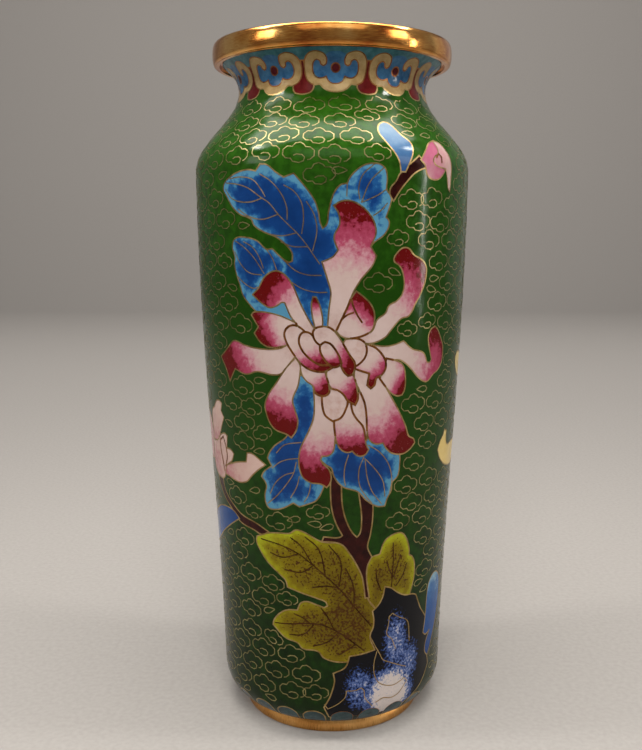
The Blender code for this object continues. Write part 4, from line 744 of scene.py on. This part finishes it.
# Motif cells: opaque enamels, wet-packed in layers so that one colour shades into the next as grains.
# Petals run from cream through pink to crimson tips, blue leaves from cobalt to light blue edges,
# green leaves from a brown-speckled heart to yellow-green tips; the rock is black with blue and white.
CREAM, PINK, CRIMSON = (0.57, 0.44, 0.41), (0.38, 0.062, 0.120), (0.112, 0.003, 0.003)
NEAR_REACH, BLUE_REACH = 3.0, 5.0
ROCK_PALE = [(20.0, 13.0, 9.5, 9.0, 1.1), (21.5, 29.5, 5.0, 10.0, 0.66), (9.0, 18.0, 5.5, 5.5, 0.62),
             (9.0, 12.5, 5.0, 2.6, 0.56), (27.5, 22.0, 5.0, 7.0, 0.62)]


def petal_enamel(name, along):
    """Petal enamel, cream to pink to a crimson tip; a smaller way along leaves a smaller tip."""
    return enamel(name, [
        (0.10, (0.46, 0.31, 0.28)), (0.32, CREAM), (0.50, (0.54, 0.40, 0.37)), (0.63, (0.50, 0.24, 0.28)),
        (0.71, PINK), (0.81, (0.28, 0.028, 0.062)), (0.85, CRIMSON)],
        along=along, cloud=0.32, cloud_scale=700.0, grain_scale=3000.0,
        speck=(0.58, 0.30, 0.32), speck_low=0.84, speck_along=0.16)


def rock_chalk(spot):
    """How pale the rock is at a point: white in the middle of its foot, speckled blue up two arms of it."""
    pale = 0.0
    for x, z, wide, tall, strength in ROCK_PALE:
        away = ((spot.x - x) / wide) ** 2 + ((spot.y - z) / tall) ** 2
        pale = max(pale, strength * math.exp(-away ** 2))
    return pale


finishes = {
    "petal": ("petal_enamel", petal_enamel("petal_enamel", 0.87)),
    "long_petal": ("petal_enamel", petal_enamel("long_petal_enamel", 0.79)),
    "cream": ("petal_enamel", enamel("cream_enamel", [(0.35, (0.50, 0.34, 0.30)), (0.60, CREAM)],
                                     speck=(0.50, 0.29, 0.29), speck_low=0.72)),
    "blue": ("blue_enamel", enamel("blue_leaf_enamel", [
        (0.0, (0.003, 0.028, 0.128)), (0.44, (0.005, 0.042, 0.180)), (0.60, (0.014, 0.092, 0.265)),
        (0.74, (0.080, 0.250, 0.390))], along=0.46, inset=-0.56, cloud=0.95,
        speck=(0.085, 0.230, 0.370), speck_low=0.80, speck_along=0.16, speck_inset=-0.10)),
    "pale_leaf": ("blue_enamel", enamel("pale_leaf_enamel", [
        (0.20, (0.005, 0.045, 0.190)), (0.60, (0.012, 0.080, 0.280)), (0.76, (0.045, 0.155, 0.360)),
        (0.86, (0.240, 0.420, 0.530))], along=0.68, cloud=0.4)),
    "bud_leaf": ("blue_enamel", enamel("bud_leaf_enamel", [
        (0.20, (0.024, 0.080, 0.220)), (0.55, (0.075, 0.175, 0.330)), (0.90, (0.215, 0.330, 0.430))],
        along=0.75, cloud=0.3)),
    "leaf": ("leaf_enamel", enamel("green_leaf_enamel", [
        (0.10, (0.105, 0.066, 0.002)), (0.42, (0.175, 0.128, 0.003)), (0.58, (0.250, 0.220, 0.005)),
        (0.80, (0.360, 0.400, 0.014))], along=0.55, inset=-0.28, cloud=0.55, grain_scale=1500.0,
        speck=(0.062, 0.022, 0.002), speck_low=0.59, speck_along=-0.16, speck_inset=0.16)),
    "bark": ("stem_enamel", enamel("bark_enamel", [
        (0.30, (0.013, 0.0015, 0.001)), (0.70, (0.038, 0.005, 0.003))],
        speck=(0.08, 0.018, 0.012), speck_low=0.66)),
    "rock": ("rock_enamel", enamel("rock_enamel", [
        (0.0, (0.002, 0.0017, 0.002)), (0.66, (0.003, 0.003, 0.005)), (0.74, (0.018, 0.040, 0.150)),
        (0.86, (0.085, 0.135, 0.320)), (0.95, (0.300, 0.320, 0.420)), (1.0, (0.580, 0.510, 0.480))],
        along=0.62, cloud=0.90, cloud_scale=1300.0, grain_scale=1300.0,
        speck=(0.540, 0.480, 0.460), speck_low=1.14, speck_along=0.62)),
    "blush": ("pale_pink_enamel", enamel("blush_enamel", [
        (0.20, (0.42, 0.12, 0.16)), (0.45, (0.56, 0.36, 0.32)), (0.85, (0.64, 0.48, 0.41))],
        along=0.5, cloud=0.5, speck=(0.48, 0.22, 0.24), speck_low=0.72)),
    "bud": ("bud_enamel", enamel("bud_enamel", [
        (0.20, (0.50, 0.27, 0.30)), (0.45, (0.49, 0.145, 0.23)), (0.85, (0.40, 0.066, 0.15))],
        along=0.45, cloud=0.5)),
    "hook": ("pale_pink_enamel", enamel("hook_enamel", [
        (0.25, (0.49, 0.20, 0.25)), (0.55, (0.54, 0.36, 0.33)), (0.90, (0.60, 0.46, 0.40))],
        along=0.5, cloud=0.5)),
    "yellow": ("yellow_enamel", enamel("yellow_enamel", [
        (0.25, (0.70, 0.43, 0.10)), (0.55, (0.75, 0.55, 0.18)), (0.90, (0.80, 0.64, 0.28))],
        along=0.4, cloud=0.5)),
}
for name, finish, root, outline in MOTIF:
    slot, packed = finishes[finish]
    lay_enamel(name + "_cell", name, packed, [name], slot, root,
               reach=BLUE_REACH if finish == "blue" else NEAR_REACH,
               ways=rock_chalk if name == "rock" else None)

# Cell wires: flat gilt copper wire bent to the drawing and soldered on edge to the body before the
# enamel is packed; filing and polishing leave its top edge level with the enamel.
# Its gilding is worn to copper in the flower, the ruyi scrolls and the scallops; round the scrolls that dark
# copper is also painted shadow.
WIRE_PROUD, WIRE_SUNK = 0.03, -0.2
COLLAR_LOW, SCALLOP_HIGH, SCALLOP_CORNERS = 181.0, 10.2, 60


def wire_metal(name, dark, middle, bright):
    """Drawn wire: gilt metal with fine lines, between its darkest and its brightest colour."""
    return gilt(name, [(0.42, dark), (0.62, middle), (0.90, bright)],
                rings=900.0, strokes=60.0, patch_scale=400.0, polish=(0.30, 0.46), relief=0.05)


wire_gilt = wire_metal("wire_gilt", (0.17, 0.100, 0.034), (0.28, 0.185, 0.070), (0.42, 0.30, 0.135))
wire_copper_and_shadow = wire_metal("wire_copper_and_shadow", (0.085, 0.028, 0.009), (0.18, 0.064, 0.019), (0.34, 0.14, 0.042))
beside = {}
for patch, cell in zip(kept, owner):
    for side in edges_of(patch):
        beside.setdefault(side, set()).add(cell)
left = {side for side, cells in beside.items()
        if len(cells) == 2 and cells != {"ruyi_field", "collar_strip"}}
touching = {}
for a, b in left:
    touching.setdefault(a, []).append(b)
    touching.setdefault(b, []).append(a)


def follow(first, second):
    """The run of wire that starts with one edge and goes on to the next junction."""
    run = [first, second]
    left.discard(edge_key(first, second))
    while len(touching[run[-1]]) == 2:
        following = [other for other in touching[run[-1]] if edge_key(other, run[-1]) in left]
        if not following:
            break
        left.discard(edge_key(following[0], run[-1]))
        run.append(following[0])
    return run


def bend_wires(name, lines, width, finish):
    """Lay lines of the sheet on the body as flat wires on edge: level on top, with a sunk foot."""
    shape = bmesh.new()
    for line in lines:
        closed = len(line) > 3 and (line[0] - line[-1]).length < 1e-6
        line = line[:-1] if closed else line
        sections = []
        for index, spot in enumerate(line):
            before = line[index - 1] if closed or index else spot
            after = line[(index + 1) % len(line)] if closed or index < len(line) - 1 else spot
            girth = vase_radius(spot.y) / SHEET_RADIUS
            rise = math.hypot(1.0, vase_slope(spot.y))
            ways = [Vector((step.x * girth, step.y * rise)).normalized()
                    for step in (spot - before, after - spot) if step.length > 1e-9]
            way = sum(ways, Vector((0.0, 0.0))).normalized()
            half = width / 2 * min(1.5, 1.0 / max(0.3, way.dot(ways[0])))
            side = Vector((-way.y / girth, way.x / rise)) * half
            sections.append([shape.verts.new(wrapped(place, lift)) for place, lift in (
                (spot - side, WIRE_PROUD), (spot + side, WIRE_PROUD), (spot, WIRE_SUNK))])
        pairs = list(zip(sections, sections[1:] + sections[:1]))
        for near, far in pairs if closed else pairs[:-1]:
            for edge in range(3):
                shape.faces.new((near[edge], far[edge], far[edge - 2], near[edge - 2]))
        if not closed:
            shape.faces.new(sections[0])
            shape.faces.new(sections[-1][::-1])
    bmesh.ops.recalc_face_normals(shape, faces=shape.faces)
    mesh = bpy.data.meshes.new(name)
    shape.to_mesh(mesh)
    shape.free()
    piece = place_piece(name, mesh)
    bpy.ops.object.shade_smooth_by_angle(angle=math.radians(30))
    piece.select_set(False)
    dress(piece, finish, "gilt")


runs = []
for corner in [corner for corner, others in touching.items() if len(others) != 2]:
    for other in touching[corner]:
        if edge_key(corner, other) in left:
            runs.append(follow(corner, other))
while left:
    runs.append(follow(*min(left)))
petals = {name for name, finish, root, outline in MOTIF if finish in ("petal", "long_petal", "cream")}
groups = {"motif": [], "petal": [], "collar": [], "scroll": [], "foot": []}
for run in runs:
    line = [flat[corner] for corner in run]
    cells = beside[edge_key(run[0], run[1])]
    if line[0].y > COLLAR_LOW:
        # Wires round the ruyi scrolls take the dark copper finish, partly as painted shadow at the scrolls'
        # edges.
        groups["collar" if "green_ground" in cells else "scroll"].append(line)
    elif max(line[0].y, line[-1].y) < SCALLOP_HIGH and len(line) < SCALLOP_CORNERS:
        groups["foot"].append(line)
    else:
        groups["petal" if cells <= petals else "motif"].append(line)
for group, width, finish in [("motif", 0.40, wire_gilt), ("petal", 0.60, wire_copper_and_shadow),
                             ("collar", 0.40, wire_gilt), ("scroll", 0.34, wire_copper_and_shadow),
                             ("foot", 0.16, wire_copper_and_shadow)]:
    bend_wires(group + "_wires", groups[group], width, finish)

# Vein and fold wires: finer wires that lie inside one cell, as leaf veins, petal folds and the rock's
# cracks, with the same enamel on both sides of them; the veins of the green leaves are dark brown.
VEINS = [
    [(-30, 159.6), (-25, 158.9), (-22, 157.9), (-18.5, 155.6), (-16, 154), (-13.5, 151), (-11, 148.5),
     (-8.5, 146), (-6, 142.8), (-4.6, 140.6), (-3, 138.2)],
    [(-28.5, 160.6), (-24, 160.9), (-20.5, 160), (-18.2, 157.5), (-17, 155.6)],
    [(-18.6, 161.5), (-15.5, 159.6), (-12.5, 156), (-11.2, 152.5), (-11.2, 149.6)],
    [(-12, 158.5), (-9.5, 157), (-7.5, 154), (-7, 150), (-7.5, 146)],
    [(-6.3, 154.3), (-4.4, 151), (-3.7, 147), (-4.8, 141.5)],
    [(-30.2, 158), (-28, 155.6), (-25, 154.5), (-21, 154.4), (-17.8, 155.3)],
    [(-25.6, 152.6), (-22, 150.6), (-18, 149.8), (-13.6, 151)], [(-16, 145.9), (-12.5, 145.5), (-9, 146.2)],
    [(-13, 144), (-10, 142.8), (-6, 142.7)], [(-27, 144.2), (-24, 142.6), (-21, 140), (-17.8, 135.6)],
    [(-24, 144), (-21, 142.4), (-19, 139.6), (-18, 137)], [(-17, 142), (-15.5, 140), (-14.2, 136.6)],
    [(-27.3, 141.5), (-25.5, 138.4), (-22.5, 135.8), (-18.5, 135.2)],
    [(-26.4, 134.6), (-24, 132.8), (-21, 131.6), (-19.8, 132)],
    [(-15, 142), (-12, 139), (-9, 136.4), (-6, 135.4), (-2.6, 135.3)],
    [(-10.3, 133.5), (-7.5, 131.8), (-4, 130.9), (-1.2, 130.9)],
    [(10.5, 163.8), (7.5, 161), (6.5, 157.5), (6.8, 154.8)], [(13, 163), (9.5, 159.5), (7.2, 154)],
    [(13.6, 157.5), (11.5, 156), (7.2, 154)], [(3.7, 158.8), (3.6, 155.5)],
    [(14, 154), (12.5, 152.3), (10.2, 150.6)],
    [(-19.5, 71.5), (-16.5, 74), (-13, 78), (-11, 81), (-10, 84.5)],
    [(-17.5, 82), (-15, 84), (-12.5, 85), (-9.4, 85.5)], [(-16, 86.5), (-13.5, 89), (-8.5, 90.1)],
    [(-18.5, 74.5), (-16.5, 78), (-13.5, 80.5), (-10.8, 81.4)], [(-12, 74), (-10, 77.5), (-9.2, 80.5)],
    [(-8, 73), (-6.6, 75.5), (-6, 78.4)], [(14.6, 72), (11.5, 76), (10, 80), (9.2, 85.6)],
    [(9.5, 85.2), (12.5, 82), (14.8, 78.5), (15.6, 74)],
    [(10, 89.3), (13.5, 87), (16.5, 83), (17.6, 78.5), (17, 75)],
    [(8.9, 86), (7.6, 82.5), (7.8, 78), (9.8, 74.6), (11.6, 72.6)],
    [(4.6, 86.8), (3.6, 83.5), (3.4, 80), (3.8, 78)],
    [(21.6, 27), (20.8, 28.4), (19.8, 30.6), (18.2, 31.8), (17.8, 32.8), (18.4, 35), (18.6, 37.6),
     (19.8, 38.4), (22, 36.9), (25.8, 34.9), (26.6, 33.2), (26.9, 31), (27.2, 28)],
    [(12.2, 32.4), (14, 29.2), (15.6, 26.6), (16.8, 24.6), (18.8, 23.6), (24, 21.2), (26, 20.4)],
    [(14.6, 27.6), (13.8, 25), (13.6, 22), (14.2, 19.6), (15.6, 17.6), (18, 16.4), (21, 15.8), (25.6, 16.9),
     (26.6, 15.6), (23, 12.6), (20, 12), (17.2, 12.6), (14.4, 11.6)],
    [(-2.4, 12.4), (-1.4, 10.8), (2.4, 12.8), (4.4, 14.8), (4.6, 16.4), (8, 16.4), (9.4, 17), (10.4, 16),
     (10.6, 14), (13.4, 10.6)],
]
LEAF_VEINS = [
    [(-22.5, 60.6), (-16, 59.8), (-10.5, 58), (-6, 55), (-2, 51.6), (2, 48), (7, 42), (12.5, 35.6)],
    [(-18.6, 35.8), (-14, 36.2), (-8, 37), (-3, 36.8), (2, 34.6), (7, 31), (10.5, 28.2)],
    [(-12.5, 62.4), (-9.5, 60.4), (-6, 55.2)], [(-8, 63), (-4, 59.6), (-2, 51.8)],
    [(-1, 60.8), (2.5, 56), (2.2, 48.4)], [(-19.4, 57), (-15, 56.2), (-10, 57.8)],
    [(-14.6, 52.6), (-9, 52.4), (-5.6, 54.6)], [(-6, 48), (-2, 48.6), (1.6, 48.2)],
    [(4, 54), (6.4, 48.6), (6.8, 42.4)], [(-12, 39.6), (-9, 38.6), (-6.6, 37)],
    [(-3.4, 42), (-1.4, 39.4), (0.6, 35.4)], [(-13.6, 33), (-9, 33.6), (-5.6, 36.8)],
    [(-6, 30.2), (-1.6, 31.6), (2, 34.4)], [(2, 27.6), (4.6, 29), (7.4, 30.6)],
    [(19, 60), (19.3, 54), (19, 46.5)], [(17, 55), (18, 52), (19.2, 50)],
    [(22, 56), (20.5, 52), (19.5, 49.5)], [(13.5, 53), (13.8, 50), (15.4, 46)],
    [(24.6, 53), (23, 49.4), (20.6, 46.6)],
]
FOLDS = [
    [(7.8, 122.8), (6.6, 124.6), (5.4, 127.2), (5, 129)],
    [(5.6, 125.6), (4, 125), (2.6, 123.8), (1.4, 121.2)], [(-15.6, 115.8), (-14.4, 116), (-13.2, 116.3)],
    [(29.4, 166.2), (30.6, 167.4), (31.6, 166.6), (31.4, 164.9)],
    [(-39.8, 87.4), (-40, 84), (-38.9, 80.6), (-38.2, 77.6)],
    [(-39.4, 87), (-37.7, 88.2), (-36.6, 86), (-36, 82.6), (-37.4, 79.2)],
]
wire_brown = wire_metal("wire_brown", (0.020, 0.008, 0.003), (0.045, 0.018, 0.006), (0.09, 0.036, 0.012))
for name, drawing, spacing, width, finish in [("vein_wires", VEINS, 0.8, 0.27, wire_gilt),
                                              ("leaf_vein_wires", LEAF_VEINS, 0.8, 0.34, wire_brown),
                                              ("fold_wires", FOLDS, 0.6, 0.50, wire_copper_and_shadow)]:
    bend_wires(name, [drawn_line(line, False, spacing) for line in drawing], width, finish)

# Cloud wires: hundreds of small cloud scrolls of fine gilt wire that key the green ground to the
# copper, in staggered rows, with drop-shaped loops where a scroll finds no room beside the motif.
CLOUD = [(2.5, -1.8), (3.2, -1.6), (4.1, -0.7), (4.0, 0.7), (2.9, 1.5), (1.7, 1.5), (1.1, 2.2), (0.1, 2.7),
         (-1.1, 2.4), (-1.8, 1.4), (-3.1, 1.4), (-4.0, 0.4), (-3.9, -0.9), (-3.0, -1.7), (-1.7, -1.7),
         (-1.1, -2.4), (0.5, -2.6), (1.6, -2.1), (1.8, -1.2), (1.1, -0.6), (-0.3, -0.55), (-1.1, -0.95)]
DROP = [(2.3, 0.0), (1.2, 0.6), (0.0, 0.95), (-1.1, 0.8), (-1.7, 0.1), (-1.2, -0.65), (-0.1, -0.9),
        (1.1, -0.55), (2.3, -0.05)]
GROUND_LOW, GROUND_HIGH, CLIMB_STEP = 10.0, 183.0, 0.25
CELL_MARGIN, SCROLL_GAP, SQUARE = 0.7, 0.62, 2
ROW_STEP, CLOUD_PITCH = 5.6, 9.3
climb = [(0.0, GROUND_LOW)]
while climb[-1][1] < GROUND_HIGH:
    path, low = climb[-1]
    climb.append((path + math.hypot(CLIMB_STEP, vase_radius(low + CLIMB_STEP) - vase_radius(low)),
                  low + CLIMB_STEP))
CLIMB = climb[-1][0]


def height_at(path):
    """The height of a point that lies a given way up the body's outline."""
    index = min(max(bisect.bisect(climb, (path, 0.0)), 1), len(climb) - 1)
    (before, low), (after, high) = climb[index - 1], climb[index]
    return low + (high - low) * (path - before) / (after - before)


obstacles = []
for name, line in motif_lines + collar_lines + foot_lines:
    across, up = [spot.x for spot in line], [spot.y for spot in line]
    obstacles.append((line, min(across), max(across), min(up), max(up)))
banks = near_tree([spot for line, *box in obstacles for spot in line])


def clear_ground(spot):
    """Whether a point of the sheet lies on open ground, with a margin to every other cell."""
    if banks.find((spot.x, spot.y, 0.0))[2] < CELL_MARGIN:
        return False
    for line, left_end, right_end, low, high in obstacles:
        if left_end < spot.x < right_end and low < spot.y < high:
            crossings = 0
            for a, b in zip(line, line[1:] + line[:1]):
                if (a.y > spot.y) != (b.y > spot.y):
                    crossings += spot.x < a.x + (b.x - a.x) * (spot.y - a.y) / (b.y - a.y)
            if crossings % 2:
                return False
    return True


chance = random.Random(7)
scroll_lines = []
taken = {}


def set_scroll(points, middle, path, tilt, size, flip=1):
    """Set one scroll on the ground if it is clear all round, and say whether it found room."""
    stretch = SHEET_RADIUS / vase_radius(height_at(path))
    line = []
    for across, up in points:
        aside = size * (flip * across * math.cos(tilt) - up * math.sin(tilt))
        upward = size * (flip * across * math.sin(tilt) + up * math.cos(tilt))
        if not 0.0 < path + upward < CLIMB:
            return False
        spot = Vector((middle + aside * stretch, height_at(path + upward)))
        inside = Vector((SEAM + (spot.x - SEAM) % FULL_TURN, spot.y))
        if not clear_ground(inside):
            return False
        column, row = int(inside.x // SQUARE), int(inside.y // SQUARE)
        squares = [(column + right, row + above) for right in (-1, 0, 1) for above in (-1, 0, 1)]
        others = [other for square in squares for other in taken.get(square, ())]
        if any((inside - other).length < SCROLL_GAP for other in others):
            return False
        line.append(spot)
    for spot in line:
        for turns in (-1, 0, 1):
            copy = spot + Vector((turns * FULL_TURN, 0.0))
            taken.setdefault((int(copy.x // SQUARE), int(copy.y // SQUARE)), []).append(copy)
    scroll_lines.append(line)
    return True


shifts = sorted(((0.8 * across, 0.7 * up) for across in range(-3, 4) for up in range(-2, 3)),
                key=lambda shift: math.hypot(*shift))
for row in range(int((CLIMB - 2.6) / ROW_STEP)):
    path = CLIMB - 3.2 - ROW_STEP * row
    around = round(math.tau * vase_radius(height_at(path)) / CLOUD_PITCH)
    for number in range(around):
        station = number + (0.75 if row % 2 else 0.25) + chance.uniform(-0.03, 0.03)
        middle = SEAM + FULL_TURN * station / around
        level = path + chance.uniform(-0.15, 0.15)
        lean = chance.uniform(-0.10, 0.10)
        full = chance.uniform(0.99, 1.05)
        # The first size and shift that find room are taken.
        any(set_scroll(CLOUD, middle + across, level + up, lean, size * full)
            for size in (1.0, 0.9, 0.8) for across, up in shifts)
for points, size, tries in [(CLOUD, 0.95, 6000), (CLOUD, 0.80, 6000), (DROP, 1.0, 5000)]:
    for attempt in range(tries):
        set_scroll(points, SEAM + FULL_TURN * chance.random(), CLIMB * chance.random(),
                   chance.uniform(-0.4, 0.4), size, chance.choice((1, -1)) if points is DROP else 1)
cloud_gilt = wire_metal("cloud_gilt", (0.095, 0.078, 0.030), (0.20, 0.168, 0.068), (0.37, 0.31, 0.14))
bend_wires("cloud_wires", scroll_lines, 0.27, cloud_gilt)

# Studio: a plain pale sweep; soft fills in front, above and on the backdrop that leave no reflection;
# lamps above, in front and to the sides for the gloss on the shoulder, wall and rim.
SWEEP_SIZE, SWEEP_RISE, SWEEP_BEND, BACK_EDGE = 3.0, 2.2, 0.7, 1.4


def select_edges(piece, wanted):
    """In edit mode, select the edges that have both ends where they are wanted."""
    bpy.ops.mesh.select_all(action="DESELECT")
    shape = bmesh.from_edit_mesh(piece.data)
    for edge in shape.edges:
        edge.select_set(all(wanted(vertex.co) for vertex in edge.verts))
    bmesh.update_edit_mesh(piece.data)


bpy.ops.mesh.primitive_plane_add(size=SWEEP_SIZE, location=(0, 0, 0))
sweep = bpy.context.object
sweep.name = "sweep"
bpy.ops.object.mode_set(mode="EDIT")
select_edges(sweep, lambda place: place.y > BACK_EDGE)
bpy.ops.mesh.extrude_region_move(TRANSFORM_OT_translate={"value": (0, 0, SWEEP_RISE)})
select_edges(sweep, lambda place: place.y > BACK_EDGE and place.z < 0.01)
bpy.ops.mesh.bevel(offset=SWEEP_BEND, segments=12)
bpy.ops.object.mode_set(mode="OBJECT")
bpy.ops.object.shade_smooth()
sweep.select_set(False)
paper, tree, shader, place = start_material("pale_paper", 0.0, 0.9)
feed(tree, shader.inputs["Base Color"], colour_ramp(
    tree, noise(tree, place, 600.0), [(0.3, (0.38, 0.355, 0.335)), (0.7, (0.42, 0.395, 0.375))]))
sweep.data.materials.append(paper)

world = bpy.data.worlds.new("studio")
world.use_nodes = True
sky = world.node_tree.nodes["Background"]
sky.inputs["Color"].default_value = (0.60, 0.58, 0.57, 1.0)
sky.inputs["Strength"].default_value = 0.35
bpy.context.scene.world = world

for name, spot, aim, size, power, glossy, diffuse in [
        ("far_fill", (-0.2, -2.2, 1.0), (0, 0, 0.12), (1.4, 1.2), 5.5, False, True),
        ("near_fill", (0.0, -0.45, 0.54), (0, 0, 0.16), (0.3, 0.2), 2.0, False, True),
        ("crown_lamp", (0.0, -0.05, 0.46), (0, 0, 0.18), (0.3, 0.2), 1.5, False, True),
        ("backdrop_lamp", (0.0, 0.5, 0.9), (0, 1.5, 0.45), (1.6, 0.3), 6.0, False, True),
        ("overhead_lamp", (-0.06, 0.0, 1.4), (-0.06, 0, 0.2), (2.2, 0.80), 46.0, True, False),
        ("left_lamp", (-0.76, -0.13, 0.91), (0, 0, 0.15), (0.14, 0.09), 2.8, True, True),
        ("right_lamp", (0.77, -0.13, 0.88), (0, 0, 0.15), (0.14, 0.09), 2.8, True, True),
        ("left_window", (-0.9, -0.45, 0.50), (0, 0, 0.19), (0.32, 0.30), 1.6, True, False),
        ("right_window", (0.9, -0.45, 0.50), (0, 0, 0.19), (0.32, 0.30), 1.6, True, False),
        ("front_window", (0.0, -1.2, 1.1), (0, 0, 0.18), (1.6, 0.70), 4.2, True, False),
        ("right_glow", (0.9, 0.8, 0.35), (0, 0, 0.14), (0.9, 0.7), 0.45, True, False),
        ("strip_lamp", (0.98, -0.19, 0.16), (0, 0, 0.15), (0.014, 0.40), 1.35, True, False)]:
    lamp_data = bpy.data.lights.new(name, "AREA")
    lamp_data.shape = "RECTANGLE"
    lamp_data.size, lamp_data.size_y = size
    lamp_data.energy = power
    lamp_data.color = (1.0, 0.97, 0.92)
    lamp = bpy.data.objects.new(name, lamp_data)
    bpy.context.collection.objects.link(lamp)
    lamp.visible_camera, lamp.visible_glossy, lamp.visible_diffuse = False, glossy, diffuse
    lamp.location = spot
    lamp.rotation_euler = (Vector(aim) - Vector(spot)).to_track_quat("-Z", "Y").to_euler()

# Camera: a little above the vase's middle and close to it, as the photograph was taken.
# It looks down by 8.67 degrees, with the vase a little to one side of the picture's middle.
view = bpy.data.cameras.new("camera")
view.sensor_width = 36.0
view.lens = 43.2
view.shift_x = -11 / 750
view.clip_start = 0.01
camera = bpy.data.objects.new("camera", view)
bpy.context.collection.objects.link(camera)
camera.location = (0.0, -0.2755, 0.145)
camera.rotation_euler = (math.radians(90 - 8.67), 0.0, 0.0)
bpy.context.scene.camera = camera
